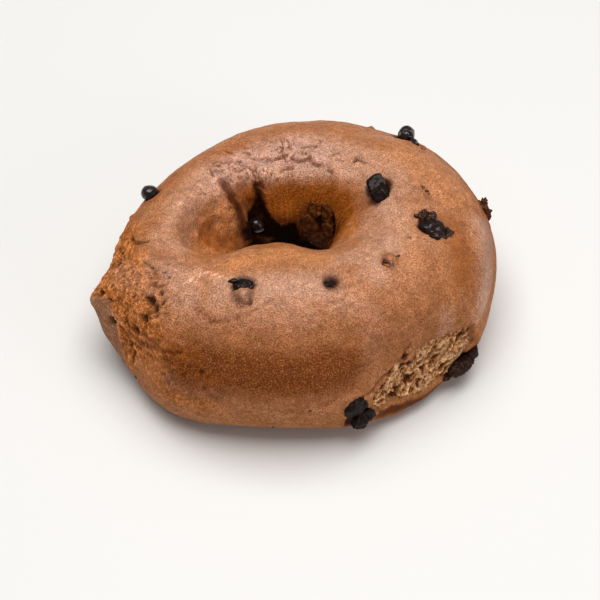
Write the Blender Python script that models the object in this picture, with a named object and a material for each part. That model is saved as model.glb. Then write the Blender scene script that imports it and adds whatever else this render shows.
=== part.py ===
# Chocolate chip bagel: one uneven ring of baked dough, with each chocolate chip that shows
# set into its own pocket in the crust. Metres, +Z up, resting on z = 0.
#
# Bearings are degrees round the hole seen from above: 0 is +X, 90 the back, 270 the front.
# Lifts are degrees round the dough's own section: 0 faces out, 90 up, 180 into the hole,
# and a negative lift is below the middle of the side.
import math
from collections import namedtuple

import bmesh
import bpy
from mathutils import Matrix, Vector, noise
from mathutils.bvhtree import BVHTree

MM = 0.001

CRUST_COLOUR = (0.40, 0.19, 0.09)
CRUST_ROUGHNESS = 0.55
CHOCOLATE_COLOUR = (0.012, 0.007, 0.006)
CHOCOLATE_ROUGHNESS = 0.30

# How far the ring reaches from the hole's middle at each bearing, how high it stands and how
# high its widest place is. The last value is how round its inner shoulder is, 1 being an ellipse.
Reach = namedtuple("Reach", "outer crown hole height widest inner")
RING = {
    0: Reach(52.5 * MM, 33.0 * MM, 13.0 * MM, 36.0 * MM, 15.5 * MM, 0.95),
    45: Reach(47.0 * MM, 28.5 * MM, 9.5 * MM, 34.0 * MM, 15.0 * MM, 0.80),
    90: Reach(40.0 * MM, 24.0 * MM, 8.0 * MM, 32.5 * MM, 14.5 * MM, 0.70),
    135: Reach(36.0 * MM, 23.0 * MM, 8.5 * MM, 33.0 * MM, 14.5 * MM, 0.75),
    180: Reach(43.0 * MM, 28.5 * MM, 11.5 * MM, 34.5 * MM, 15.0 * MM, 0.90),
    225: Reach(54.0 * MM, 33.5 * MM, 10.5 * MM, 37.0 * MM, 14.0 * MM, 0.95),
    270: Reach(55.5 * MM, 31.5 * MM, 8.5 * MM, 39.0 * MM, 15.0 * MM, 0.95),
    315: Reach(56.5 * MM, 35.0 * MM, 11.0 * MM, 38.5 * MM, 9.0 * MM, 0.95),
}
COLUMNS_ROUND = 84
ROWS_ROUND = 34
OUTER_POWER = 0.92     # how square the outer shoulder is, below 1 being squarer
FOOT_POWER = 0.72
BELLY_POWER = 0.90
FOOT_PRESS = 1.06      # how much of the underside the baking tray flattened

# Where a feature of the crust lies: its middle, and how far it fades each way from there
Patch = namedtuple("Patch", "bearing before after lift below above")

# The side that baked against a neighbour, and the crust that was pulled out beside it
CONTACT_BEARING = 213.0
CONTACT_LEAN = 3.0
CONTACT_REACH = 51.2 * MM
CONTACT_EASE = 1.2 * MM
BEAK = Patch(201.0, 13.0, 20.0, 10.0, 42.0, 42.0)
BEAK_PROUD = 5.5 * MM

# The side that was torn from another neighbour: a leaning face of bare crumb, sunk a crust's
# thickness, between a lower rim of crust and an upper edge that climbs and falls again
TORN_BEARING = 304.0
TORN_LEAN = 12.0
TORN_REACH = 54.0 * MM
TORN_EASE = 1.6 * MM
TORN_FROM = 291.0
TORN_HIGH_FROM = 310.0
TORN_HIGH_TO = 320.0
TORN_TO = 330.0
TORN_TOP = 22.5 * MM
TORN_FOOT_LEFT = 5.5 * MM
TORN_FOOT_RIGHT = 3.0 * MM
TORN_EDGE = 0.7 * MM
TORN_EDGE_WAVE = 1.6 * MM
TORN_EDGE_SIZE = 5.0 * MM
CRUST_THICK = 1.4 * MM
TORN_CRAG = 1.7 * MM
TORN_CRAG_SIZE = 3.0 * MM

# The hollow that the hole widens into on its left, the pinch where the rope of dough was
# joined, and the tongue that hangs from the back wall
FUNNEL = Patch(211.0, 56.0, 27.0, 138.0, 52.0, 60.0)
FUNNEL_DEEP = 12.5 * MM
PINCH = Patch(146.0, 14.0, 14.0, 165.0, 65.0, 90.0)
PINCH_DEEP = 3.0 * MM
TONGUE = Patch(92.0, 34.0, 34.0, 190.0, 45.0, 45.0)
TONGUE_PROUD = 2.0 * MM

# The rough skin over the pulled side, and the slow swell of the whole crust
ROUGH = Patch(206.0, 34.0, 30.0, 32.0, 55.0, 50.0)
ROUGH_CRAG = 0.6 * MM
ROUGH_CRAG_SIZE = 4.0 * MM
SWELL = 0.45 * MM
SWELL_SIZE = 16.0 * MM
BASE_EASE = 2.0 * MM

# Where the mesh is made finer for the relief
FINE_SHARE = 0.12
FINE_MARGIN = 2.0 * MM

# Each chip: where it sits, its length, width and depth, how far its length is turned from
# level, and how far it stands out of the crust
GAP = 0.35 * MM
LUMPS = 0.16           # how uneven a chip is, as a share of its size
SEED_STEP = 7.3
Chip = namedtuple("Chip", "bearing lift long wide deep turn proud")
CHIPS_IN_MM = {
    "chip_back_right": Chip(41, 50, 6.2, 5.2, 5.6, 30, 3.0),
    "chip_top_right": Chip(10, 117, 7.6, 6.4, 5.6, 60, 1.8),
    "chip_right_crown": Chip(341, 83, 7.6, 6.0, 5.0, 150, 1.1),
    "chip_right_side": Chip(6, 20, 5.4, 4.4, 4.4, 80, 1.8),
    "chip_left_side": Chip(172, 62, 4.8, 4.4, 4.6, 0, 2.4),
    "chip_front_left": Chip(252, 83, 6.6, 6.0, 4.6, 20, 0.9),
    "chip_front_middle": Chip(287, 86, 4.4, 4.2, 4.0, 0, 0.5),
    "chip_front_right": Chip(314, 89, 4.6, 3.6, 3.6, 40, 0.3),
    "chip_foot_front": Chip(289, -9, 7.6, 7.0, 5.6, 30, 2.2),
    "chip_foot_right": Chip(324, -8, 13.5, 5.2, 5.6, -6, 3.2),
    "chip_hole_left": Chip(141, 169, 4.8, 4.6, 4.6, 0, 2.2),
    "chip_hole_right": Chip(28, 170, 9.0, 7.0, 5.0, 80, 1.6),
    "chip_hole_low": Chip(14, 200, 4.4, 4.0, 3.8, 0, 1.2),
    "chip_hole_front": Chip(262, 176, 5.4, 4.8, 4.4, 35, 1.4),
    "chip_back_middle": Chip(64, 16, 6.6, 5.4, 5.0, 25, 1.6),
    "chip_back_low": Chip(86, -20, 5.6, 5.0, 4.6, 70, 1.2),
    "chip_back_high": Chip(104, 30, 7.0, 5.8, 5.0, 130, 1.5),
    "chip_back_left": Chip(127, -2, 5.4, 4.6, 4.4, 10, 1.9),
    "chip_left_low": Chip(155, -18, 7.2, 5.4, 4.8, 165, 1.3),
    "chip_right_low": Chip(27, -14, 6.2, 5.2, 4.6, 45, 1.6),
}


def around(column, bearing):
    """One column of RING at any bearing, on a smooth closed curve through its rows."""
    rows = sorted(RING)
    step = 360.0 / len(rows)
    place = (bearing % 360.0) / step
    first = int(place)
    part = place - first
    before, here, after, later = (
        getattr(RING[rows[(first + k) % len(rows)]], column) for k in (-1, 0, 1, 2)
    )
    cubic = 3.0 * (here - after) + later - before
    square = 2.0 * before - 5.0 * here + 4.0 * after - later
    return here + 0.5 * part * (after - before + part * (square + part * cubic))


def rounded(value, power):
    return math.copysign(abs(value) ** power, value)


def between(low, high, value):
    """0 below low, 1 above high, and a smooth step from one to the other."""
    share = min(max((value - low) / (high - low), 0.0), 1.0)
    return share * share * (3.0 - 2.0 * share)


def hump(away, before, after):
    """1 at no distance away, falling smoothly to 0 over before and after."""
    return 1.0 - between(0.0, before if away < 0.0 else after, abs(away))


def share_of(patch, bearing, lift):
    """1 at the patch's middle, falling smoothly to 0 at its edges."""
    turned = (bearing - patch.bearing + 180.0) % 360.0 - 180.0
    raised = (lift - patch.lift + 180.0) % 360.0 - 180.0
    return hump(turned, patch.before, patch.after) * hump(raised, patch.below, patch.above)


def from_bearing(bearing, lean=0.0):
    flat = math.cos(math.radians(lean))
    angle = math.radians(bearing)
    return Vector((flat * math.cos(angle), flat * math.sin(angle), math.sin(math.radians(lean))))


def core(bearing):
    """The middle of the dough's section at a bearing."""
    return from_bearing(bearing) * around("crown", bearing) + Vector((0, 0, around("widest", bearing)))


def bare_point(bearing, lift):
    """The smooth ring before anything pressed, pulled or tore it."""
    across = math.cos(math.radians(lift))
    up = math.sin(math.radians(lift))
    crown = around("crown", bearing)
    height = around("height", bearing)
    outside = across > 0.0
    width = around("outer", bearing) - crown if outside else crown - around("hole", bearing)
    above = up > 0.0
    power = (OUTER_POWER if outside else around("inner", bearing)) if above else FOOT_POWER
    reach = crown + width * rounded(across, power)
    middle = around("widest", bearing)
    if above:
        z = middle + (height - middle) * up
    else:
        z = max(middle + middle * FOOT_PRESS * rounded(up, BELLY_POWER), 0.0)
    return from_bearing(bearing) * reach + Vector((0, 0, z))


def pressed(point, bearing, lean, reach, ease):
    """The point moved back to a flat side, over a soft edge as wide as ease."""
    out = from_bearing(bearing, lean)
    beyond = point.dot(out) - reach
    kept = 0.5 * (beyond - math.hypot(beyond, ease))
    return point + out * (kept - beyond)


def polar(point):
    """(bearing, lift) of a point of the dough."""
    bearing = math.degrees(math.atan2(point.y, point.x)) % 360.0
    off = point - core(bearing)
    out = off.dot(from_bearing(bearing))
    return bearing, math.degrees(math.atan2(off.z, out)) % 360.0


def sculpted(point):
    """The point moved by the hole's own forms, the beak and the two flat sides."""
    bearing, lift = polar(point)
    out = from_bearing(bearing)
    hollow = FUNNEL_DEEP * share_of(FUNNEL, bearing, lift) + PINCH_DEEP * share_of(PINCH, bearing, lift)
    hollow -= TONGUE_PROUD * share_of(TONGUE, bearing, lift)
    flat = pressed(point + out * hollow, CONTACT_BEARING, CONTACT_LEAN, CONTACT_REACH, CONTACT_EASE)
    pulled = flat + out * BEAK_PROUD * share_of(BEAK, bearing, lift)
    return pressed(pulled, TORN_BEARING, TORN_LEAN, TORN_REACH, TORN_EASE)


def torn_share(point, bearing, soft=TORN_EDGE):
    """1 on the bare crumb and 0 on the crust, over an edge as wide as soft."""
    out_of_crown = math.hypot(point.x, point.y) - around("crown", bearing)
    foot = TORN_FOOT_LEFT + (TORN_FOOT_RIGHT - TORN_FOOT_LEFT) * between(TORN_FROM, TORN_TO, bearing)
    climb = between(TORN_FROM, TORN_HIGH_FROM, bearing) - between(TORN_HIGH_TO, TORN_TO, bearing)
    top = foot + (TORN_TOP - foot) * climb
    wave = TORN_EDGE_WAVE * noise.noise(point / TORN_EDGE_SIZE)
    inside = min(top - point.z, point.z - foot, out_of_crown) + wave
    return between(-soft, soft, inside) if TORN_FROM < bearing < TORN_TO else 0.0


def crag(point, size):
    return noise.noise(point / size) + 0.5 * noise.noise(point * 2.1 / size)


def relieved(point):
    """The point moved by the crumb of the torn side, the rough skin and the slow swell."""
    bearing, lift = polar(point)
    out = (point - core(bearing)).normalized()
    torn = torn_share(point, bearing)
    rise = (TORN_CRAG * crag(point, TORN_CRAG_SIZE) - CRUST_THICK) * torn
    rise += ROUGH_CRAG * crag(point, ROUGH_CRAG_SIZE) * share_of(ROUGH, bearing, lift) * (1.0 - torn)
    rise += SWELL * noise.noise(point / SWELL_SIZE)
    moved = point + out * rise * between(0.0, BASE_EASE, point.z)
    moved.z = max(moved.z, 0.0)
    return moved


def is_fine(face):
    """Whether a face lies where the relief is too small for the ring's own columns and rows."""
    centre = face.calc_center_median()
    bearing, lift = polar(centre)
    return torn_share(centre, bearing, FINE_MARGIN) > 0.0 or share_of(ROUGH, bearing, lift) > FINE_SHARE


def make_dough():
    mesh = bmesh.new()
    grid = []
    for column in range(COLUMNS_ROUND):
        bearing = 360.0 * column / COLUMNS_ROUND
        column_points = []
        for row in range(ROWS_ROUND):
            lift = 360.0 * (row + 0.5) / ROWS_ROUND
            column_points.append(mesh.verts.new(sculpted(bare_point(bearing, lift))))
        grid.append(column_points)
    for column in range(COLUMNS_ROUND):
        here = grid[column]
        after = grid[(column + 1) % COLUMNS_ROUND]
        for row in range(ROWS_ROUND):
            up = (row + 1) % ROWS_ROUND
            mesh.faces.new((here[row], after[row], after[up], here[up]))
    fine_edges = {edge for face in mesh.faces if is_fine(face) for edge in face.edges}
    bmesh.ops.subdivide_edges(mesh, edges=list(fine_edges), cuts=1, use_grid_fill=True)
    for vertex in mesh.verts:
        vertex.co = relieved(vertex.co)
    bmesh.ops.triangulate(mesh, faces=mesh.faces[:])
    bmesh.ops.recalc_face_normals(mesh, faces=mesh.faces[:])
    data = bpy.data.meshes.new("dough_ring")
    mesh.to_mesh(data)
    mesh.free()
    dough = bpy.data.objects.new("dough_ring", data)
    bpy.context.collection.objects.link(dough)
    data.shade_smooth()
    return dough


def seat(tree, chip):
    """Where a chip's middle sits in the crust, with its length along local X and +Z facing out."""
    start = core(chip.bearing)
    flat = from_bearing(chip.bearing)
    rise = math.radians(chip.lift)
    ray = flat * math.cos(rise) + Vector((0, 0, math.sin(rise)))
    spot, normal, _, _ = tree.ray_cast(start, ray)
    level = Vector((0, 0, 1)).cross(flat)
    along = level - normal * level.dot(normal)
    along.normalize()
    along = Matrix.Rotation(math.radians(chip.turn), 3, normal) @ along
    frame = Matrix((along, normal.cross(along), normal)).transposed().to_4x4()
    middle = spot + normal * (chip.proud - 0.5 * chip.deep)
    return Matrix.Translation(middle) @ frame


def lump(name, chip, seed, grow):
    """A worn drop of chocolate, every side moved out by grow."""
    half = Vector((chip.long, chip.wide, chip.deep)) * 0.5
    mesh = bmesh.new()
    bmesh.ops.create_icosphere(mesh, subdivisions=2, radius=1.0)
    for vertex in mesh.verts:
        side = vertex.co.copy()
        size = 1.0 + LUMPS * noise.noise(side + seed)
        place = Vector((side.x * half.x, side.y * half.y, side.z * half.z)) * size
        outward = Vector((side.x / half.x, side.y / half.y, side.z / half.z)).normalized()
        vertex.co = place + outward * grow
    data = bpy.data.meshes.new(name)
    mesh.to_mesh(data)
    mesh.free()
    piece = bpy.data.objects.new(name, data)
    bpy.context.collection.objects.link(piece)
    data.shade_smooth()
    return piece


def cut(body, cutter):
    cutter.hide_render = True
    cutter.display_type = "WIRE"
    pocket = body.modifiers.new(cutter.name, "BOOLEAN")
    pocket.operation = "DIFFERENCE"
    pocket.solver = "EXACT"
    pocket.object = cutter


def material(name, colour, roughness):
    made = bpy.data.materials.new(name)
    made.use_nodes = True
    shader = made.node_tree.nodes["Principled BSDF"]
    shader.inputs["Base Color"].default_value = (*colour, 1.0)
    shader.inputs["Roughness"].default_value = roughness
    shader.inputs["Metallic"].default_value = 0.0
    return made


def make_chips(dough):
    chocolate = material("chocolate", CHOCOLATE_COLOUR, CHOCOLATE_ROUGHNESS)
    faces = [tuple(face.vertices) for face in dough.data.polygons]
    tree = BVHTree.FromPolygons([vertex.co.copy() for vertex in dough.data.vertices], faces)
    for number, (name, in_mm) in enumerate(CHIPS_IN_MM.items()):
        sizes = {key: getattr(in_mm, key) * MM for key in ("long", "wide", "deep", "proud")}
        chip = in_mm._replace(**sizes)
        seed = Vector((SEED_STEP * number, 0.0, 0.0))
        place = seat(tree, chip)
        piece = lump(name, chip, seed, 0.0)
        piece.data.transform(place)
        piece.data.materials.append(chocolate)
        pocket = lump(name + "_pocket", chip, seed, GAP)
        pocket.data.transform(place)
        cut(dough, pocket)


def centre_on_base():
    """Moves everything so that the middle of the base's outer box is the origin."""
    shown = [thing for thing in bpy.data.objects if not thing.hide_render]
    corners = [vertex.co for thing in shown for vertex in thing.data.vertices]
    middle = [0.5 * (min(c[axis] for c in corners) + max(c[axis] for c in corners)) for axis in (0, 1)]
    move = Matrix.Translation((-middle[0], -middle[1], -min(c.z for c in corners)))
    for thing in bpy.data.objects:
        thing.data.transform(move)
    return move.to_translation()


for old in list(bpy.data.objects):
    bpy.data.objects.remove(old, do_unlink=True)
dough = make_dough()
dough.data.materials.append(material("crust", CRUST_COLOUR, CRUST_ROUGHNESS))
make_chips(dough)
MOVED = centre_on_base()
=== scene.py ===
# A chocolate chip bagel as it looks on a pale table: baked crust with its pits, creases and
# stains, the bare crumb of the torn side, and glossy chips half sunk in the dough.
# Lengths are metres. Bearings are degrees round the hole seen from above, 0 is +X and 270 the
# front. Lifts are degrees round the dough's section, 0 faces out, 90 up and 180 into the hole.
import itertools
import math

import bmesh
import bpy
import numpy as np
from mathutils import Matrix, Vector
from mathutils.bvhtree import BVHTree


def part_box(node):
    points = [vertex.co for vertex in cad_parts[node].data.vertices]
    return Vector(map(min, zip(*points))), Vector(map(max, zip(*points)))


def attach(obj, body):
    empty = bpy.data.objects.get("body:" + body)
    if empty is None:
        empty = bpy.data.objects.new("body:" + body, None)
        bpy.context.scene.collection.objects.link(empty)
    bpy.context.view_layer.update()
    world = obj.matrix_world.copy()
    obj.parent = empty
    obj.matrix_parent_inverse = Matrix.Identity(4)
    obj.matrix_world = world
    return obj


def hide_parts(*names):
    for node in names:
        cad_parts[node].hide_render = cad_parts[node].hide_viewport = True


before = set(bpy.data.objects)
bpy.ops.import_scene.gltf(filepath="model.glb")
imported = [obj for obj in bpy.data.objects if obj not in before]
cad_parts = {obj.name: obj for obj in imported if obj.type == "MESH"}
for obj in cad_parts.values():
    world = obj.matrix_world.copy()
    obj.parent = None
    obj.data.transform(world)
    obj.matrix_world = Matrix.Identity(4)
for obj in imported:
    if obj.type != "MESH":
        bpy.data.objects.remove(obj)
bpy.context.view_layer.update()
mm = 0.001


view = {
    "elevation": 49.0,           # degrees that the camera looks down
    "distance": 0.49,
    "lens": 110.0,
    "sensor": 36.0,
    "aim": (1.51 * mm, 4.56 * mm, -2.25 * mm),
    "pixels": 600,               # width and height of the photograph's frame
}


def placed(name, data):
    thing = bpy.data.objects.new(name, data)
    bpy.context.scene.collection.objects.link(thing)
    return thing


def makeCamera():
    tilt = math.radians(view["elevation"])
    data = bpy.data.cameras.new("camera")
    data.lens = view["lens"]
    data.sensor_width = view["sensor"]
    data.clip_start = 0.01
    camera = placed("camera", data)
    camera.location = Vector(view["aim"]) + Vector((0, -math.cos(tilt), math.sin(tilt))) * view["distance"]
    camera.rotation_euler = (math.pi / 2 - tilt, 0, 0)
    bpy.context.scene.camera = camera
    bpy.context.view_layer.update()
    return camera


def rayThrough(pixel):
    # from the camera through a pixel of the photograph's frame
    half = view["pixels"] / 2
    zoom = view["lens"] / view["sensor"] * view["pixels"]
    across, up, back = (camera.matrix_world.col[k].to_3d() for k in range(3))
    return (across * (pixel[0] - half) / zoom - up * (pixel[1] - half) / zoom - back).normalized()


def eased(low, high, value):
    share = np.clip((value - low) / (high - low), 0.0, 1.0)
    return share * share * (3.0 - 2.0 * share)


def turned(angle, middle):
    return (np.asarray(angle) - middle + 180.0) % 360.0 - 180.0


def hashed(cells, seed):
    # whole numbers that look random and are the same each run
    x, y, z = (cells[..., axis].astype(np.int64) for axis in range(3))
    code = ((x * 73856093) ^ (y * 19349663) ^ (z * 83492791) ^ (seed * 2654435761)) & 0xFFFFFFFF
    code = (code ^ (code >> 13)) * 1274126177 & 0xFFFFFFFF
    return code ^ (code >> 16)


def noiseAt(points, size, seed=0):
    # smooth noise from about -1 to 1, with lumps as large as size
    scaled = points / np.asarray(size)
    cell = np.floor(scaled)
    part = scaled - cell
    ease = part ** 3 * (part * (part * 6.0 - 15.0) + 10.0)
    total = np.zeros(len(points))
    for corner in itertools.product((0, 1), repeat=3):
        code = hashed(cell + corner, seed)
        slope = np.stack([code & 255, code >> 8 & 255, code >> 16 & 255], axis=-1) / 127.5 - 1.0
        weight = np.prod(np.where(corner, ease, 1.0 - ease), axis=-1)
        total += weight * ((part - corner) * slope).sum(axis=-1)
    return total * 1.6


def layered(points, size, seed=0, octaves=3):
    return sum(noiseAt(points, np.asarray(size) / 2.1 ** k, seed + k) / 2.0 ** k for k in range(octaves))


def cellsAt(points, size, seed=0):
    # distance to the nearest and to the second nearest of scattered spots, in units of size
    scaled = points / np.asarray(size)
    base = np.floor(scaled)
    nearest = np.full(len(points), 9.0)
    second = np.full(len(points), 9.0)
    for corner in itertools.product((-1, 0, 1), repeat=3):
        cell = base + corner
        code = hashed(cell, seed)
        spot = cell + np.stack([code & 1023, code >> 10 & 1023, code >> 20 & 1023], axis=-1) / 1023.0
        away = np.linalg.norm(spot - scaled, axis=-1)
        second = np.minimum(second, np.maximum(nearest, away))
        nearest = np.minimum(nearest, away)
    return nearest, second


def zoneShare(bearing, lift, zone):
    # 1 in the zone's middle, falling smoothly to 0 at its edges
    middle, before, after, height, below, above = zone
    away = turned(bearing, middle)
    raised = turned(lift, height)
    across = 1.0 - eased(0.0, 1.0, np.abs(away) / np.where(away < 0.0, before, after))
    return across * (1.0 - eased(0.0, 1.0, np.abs(raised) / np.where(raised < 0.0, below, above)))


# How the dough's form is read from the CAD
form = {
    "holeMiddle": (-1.35 * mm, 7.14 * mm),
    "coreHeight": 15.0 * mm,
    "coreWaves": 8,              # how many waves of the core's path are kept
    "bearings": 720,
    "lifts": 288,
    "pocketReach": 0.65 * mm,    # crust this near a chip is read as part of its pocket
    "fillCells": 7.0,
    "fillRounds": 40,
    "soften": (3.4, 3.2),        # cells that the facets are blurred over
    "flatBelow": 1.2 * mm,
}


# Where the dough swells or sinks more than the CAD's own form: bearing, lift, reach and height in mm
swells = [
    (59, 65, 9.0, -1.3), (50, 58, 8.0, -1.0), (80, 58, 7.0, -0.7), (164, 66, 8.0, -1.1),
    (196, 22, 4.5, -1.2), (202, 9, 2.4, 1.0), (206, 4, 3.5, -0.8), (211, 343, 8.0, 1.3),
    (223, 336, 9.0, 1.3), (236, 339, 10.0, 1.4), (245, 336, 8.0, 1.0), (273, 340, 13.0, -1.1),
    (188, 34, 7.0, 0.8), (353, 10, 14.0, 0.9), (258, 138, 6.5, 1.3), (226, 108, 5.5, -1.5),
    (196, 142, 6.0, -1.2), (338, 150, 6.0, 2.3),
]


def softened(grid, across, along):
    # a blur that runs round both ways
    turns = [np.fft.fftfreq(count) * math.pi for count in grid.shape]
    keep = np.exp(-2.0 * (across * turns[0][:, None]) ** 2 - 2.0 * (along * turns[1][None, :]) ** 2)
    return np.real(np.fft.ifft2(np.fft.fft2(grid) * keep))


def treeOf(thing):
    points = [vertex.co.copy() for vertex in thing.data.vertices]
    return BVHTree.FromPolygons(points, [tuple(face.vertices) for face in thing.data.polygons])


def readForm():
    # how far the crust is from the middle of the dough, at every bearing and lift
    tree = treeOf(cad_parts["dough_ring"])
    middle = Vector((*form["holeMiddle"], form["coreHeight"]))
    bearings = np.radians(np.arange(form["bearings"]) * 360.0 / form["bearings"])
    lifts = np.radians(np.arange(form["lifts"]) * 360.0 / form["lifts"])
    far = 0.2
    core = []
    for bearing in bearings:
        out = Vector((math.cos(bearing), math.sin(bearing), 0.0))
        near = tree.ray_cast(middle, out)[3]
        rim = far - tree.ray_cast(middle + out * far, -out)[3]
        core.append(0.5 * (near + rim))
    waves = np.fft.rfft(core)
    waves[form["coreWaves"]:] = 0.0
    core = np.fft.irfft(waves, len(core))
    reach = np.zeros((len(bearings), len(lifts)))
    for i, bearing in enumerate(bearings):
        out = Vector((math.cos(bearing), math.sin(bearing), 0.0))
        start = middle + out * core[i]
        for j, lift in enumerate(lifts):
            ray = out * math.cos(lift) + Vector((0.0, 0.0, math.sin(lift)))
            reach[i, j] = tree.ray_cast(start, ray)[3]
    return core[:, None], reach


def placesOf(core, reach):
    # the points that a grid of reaches stands for
    bearings = np.radians(np.arange(reach.shape[0]) * 360.0 / reach.shape[0])[:, None]
    lifts = np.radians(np.arange(reach.shape[1]) * 360.0 / reach.shape[1])[None, :]
    out = core + reach * np.cos(lifts)
    x = form["holeMiddle"][0] + out * np.cos(bearings)
    y = form["holeMiddle"][1] + out * np.sin(bearings)
    return np.stack([x, y, form["coreHeight"] + reach * np.sin(lifts)], axis=-1)


def closedForm(core, reach):
    # the same crust with each chip's pocket filled and the facets smoothed
    places = placesOf(core, reach)
    pocket = np.zeros(reach.shape, bool)
    for name, node in chipNodes.items():
        tree = treeOf(node)
        low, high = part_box(name)
        inside = np.all((places > np.array(low) - 1.5 * mm) & (places < np.array(high) + 1.5 * mm), axis=-1)
        for i, j in np.argwhere(inside):
            pocket[i, j] = tree.find_nearest(Vector(places[i, j]), form["pocketReach"])[0] is not None
    known = np.where(pocket, 0.0, 1.0)
    wide = form["fillCells"]
    filled = softened(reach * known, wide, wide) / np.maximum(softened(known, wide, wide), 0.02)
    filled = np.where(pocket, filled, reach)
    for _ in range(form["fillRounds"]):
        filled = np.where(pocket, softened(filled, 2.0, 2.0), reach)
    flat = eased(0.0, form["flatBelow"], placesOf(core, filled)[..., 2])
    return softened(filled, *form["soften"]), softened(flat, 1.0, 1.0)


def swollen(core, reach):
    # the form with its swells
    places = placesOf(core, reach)
    for bearing, lift, wide, height in swells:
        i = round(bearing / 360.0 * reach.shape[0]) % reach.shape[0]
        j = round(lift / 360.0 * reach.shape[1]) % reach.shape[1]
        away = np.linalg.norm(places - places[i, j], axis=-1)
        reach = reach + height * mm * np.exp(-(away / (wide * mm)) ** 2)
    return reach


def sampled(grid, bearing, lift):
    i = np.asarray(bearing) % 360.0 / 360.0 * grid.shape[0]
    j = np.asarray(lift) % 360.0 / 360.0 * grid.shape[1]
    low, left = np.floor(i).astype(int), np.floor(j).astype(int)
    a, b = i - low, j - left
    rows = [low % grid.shape[0], (low + 1) % grid.shape[0]]
    columns = [left % grid.shape[1], (left + 1) % grid.shape[1]]
    near = grid[rows[0], columns[0]] * (1 - b) + grid[rows[0], columns[1]] * b
    far = grid[rows[1], columns[0]] * (1 - b) + grid[rows[1], columns[1]] * b
    return near * (1 - a) + far * a


def surfaceAt(bearing, lift):
    bearing, lift = np.broadcast_arrays(bearing, lift)
    distance = sampled(reachGrid, bearing, lift)
    turn, rise = np.radians(bearing), np.radians(lift)
    out = sampled(coreGrid, bearing, 0.0 * lift) + distance * np.cos(rise)
    x = form["holeMiddle"][0] + out * np.cos(turn)
    y = form["holeMiddle"][1] + out * np.sin(turn)
    z = form["coreHeight"] + distance * np.sin(rise)
    z = np.maximum(z, 0.0) * sampled(flatGrid, bearing, lift)
    return np.stack([x, y, z], axis=-1)


def polarOf(points):
    # (bearings, lifts) of points
    x = points[..., 0] - form["holeMiddle"][0]
    y = points[..., 1] - form["holeMiddle"][1]
    bearing = np.degrees(np.arctan2(y, x)) % 360.0
    out = np.hypot(x, y) - sampled(coreGrid, bearing, 0.0 * bearing)
    return bearing, np.degrees(np.arctan2(points[..., 2] - form["coreHeight"], out)) % 360.0


def spotOn(pixel):
    # the point of the smooth crust seen at a pixel, or the nearest one to that line of sight
    ray = rayThrough(pixel)
    hit = crustTree.ray_cast(camera.location, ray)[0]
    if hit is None:
        tries = [crustTree.find_nearest(camera.location + ray * (view["distance"] + step * mm))
                 for step in range(-70, 71, 2)]
        hit = min(tries, key=lambda found: found[3])[0]
    return np.array(hit)


def pathOn(pixels, step=0.4 * mm):
    # a line drawn over the crust through pixels
    corners = [spotOn(pixel) for pixel in pixels]
    points = []
    for start, end in zip(corners, corners[1:]):
        count = max(int(np.linalg.norm(end - start) / step), 1)
        points += [start + (end - start) * k / count for k in range(count)]
    return np.array(points + [corners[-1]])


def nearness(points, path, reach=5 * mm):
    # distance from each point to the nearest point of a path
    nearest = np.full(len(points), 1.0)
    low, high = path.min(axis=0) - reach, path.max(axis=0) + reach
    close = np.flatnonzero(np.all((points > low) & (points < high), axis=-1))
    nearest[close] = np.linalg.norm(points[close][:, None] - path[None], axis=-1).min(axis=1)
    return nearest


# Zones of the crust: a bearing with its reach before and after, a lift with its reach below and
# above; how ragged the edge is, over what size and with what seed; the shares between which it sets in
zones = {
    "rough": ((206, 38, 46, 32, 70, 50), (0.18, 5 * mm, 3), (0.06, 0.50)),
    "lowRough": ((238, 34, 26, 14, 34, 26), (0.15, 4 * mm, 4), (0.15, 0.60)),
    "back": ((102, 76, 118, 110, 36, 32), (0.10, 3 * mm, 9), (0.05, 0.55)),
    "funnel": ((182, 46, 40, 138, 40, 60), None, (0.0, 0.6)),
}
plainZones = {
    "hole": (0, 200, 200, 182, 62, 70),
    "side": (0, 200, 200, 30, 26, 26),
    "gloss": (0, 200, 200, 96, 62, 52),
}

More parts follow.
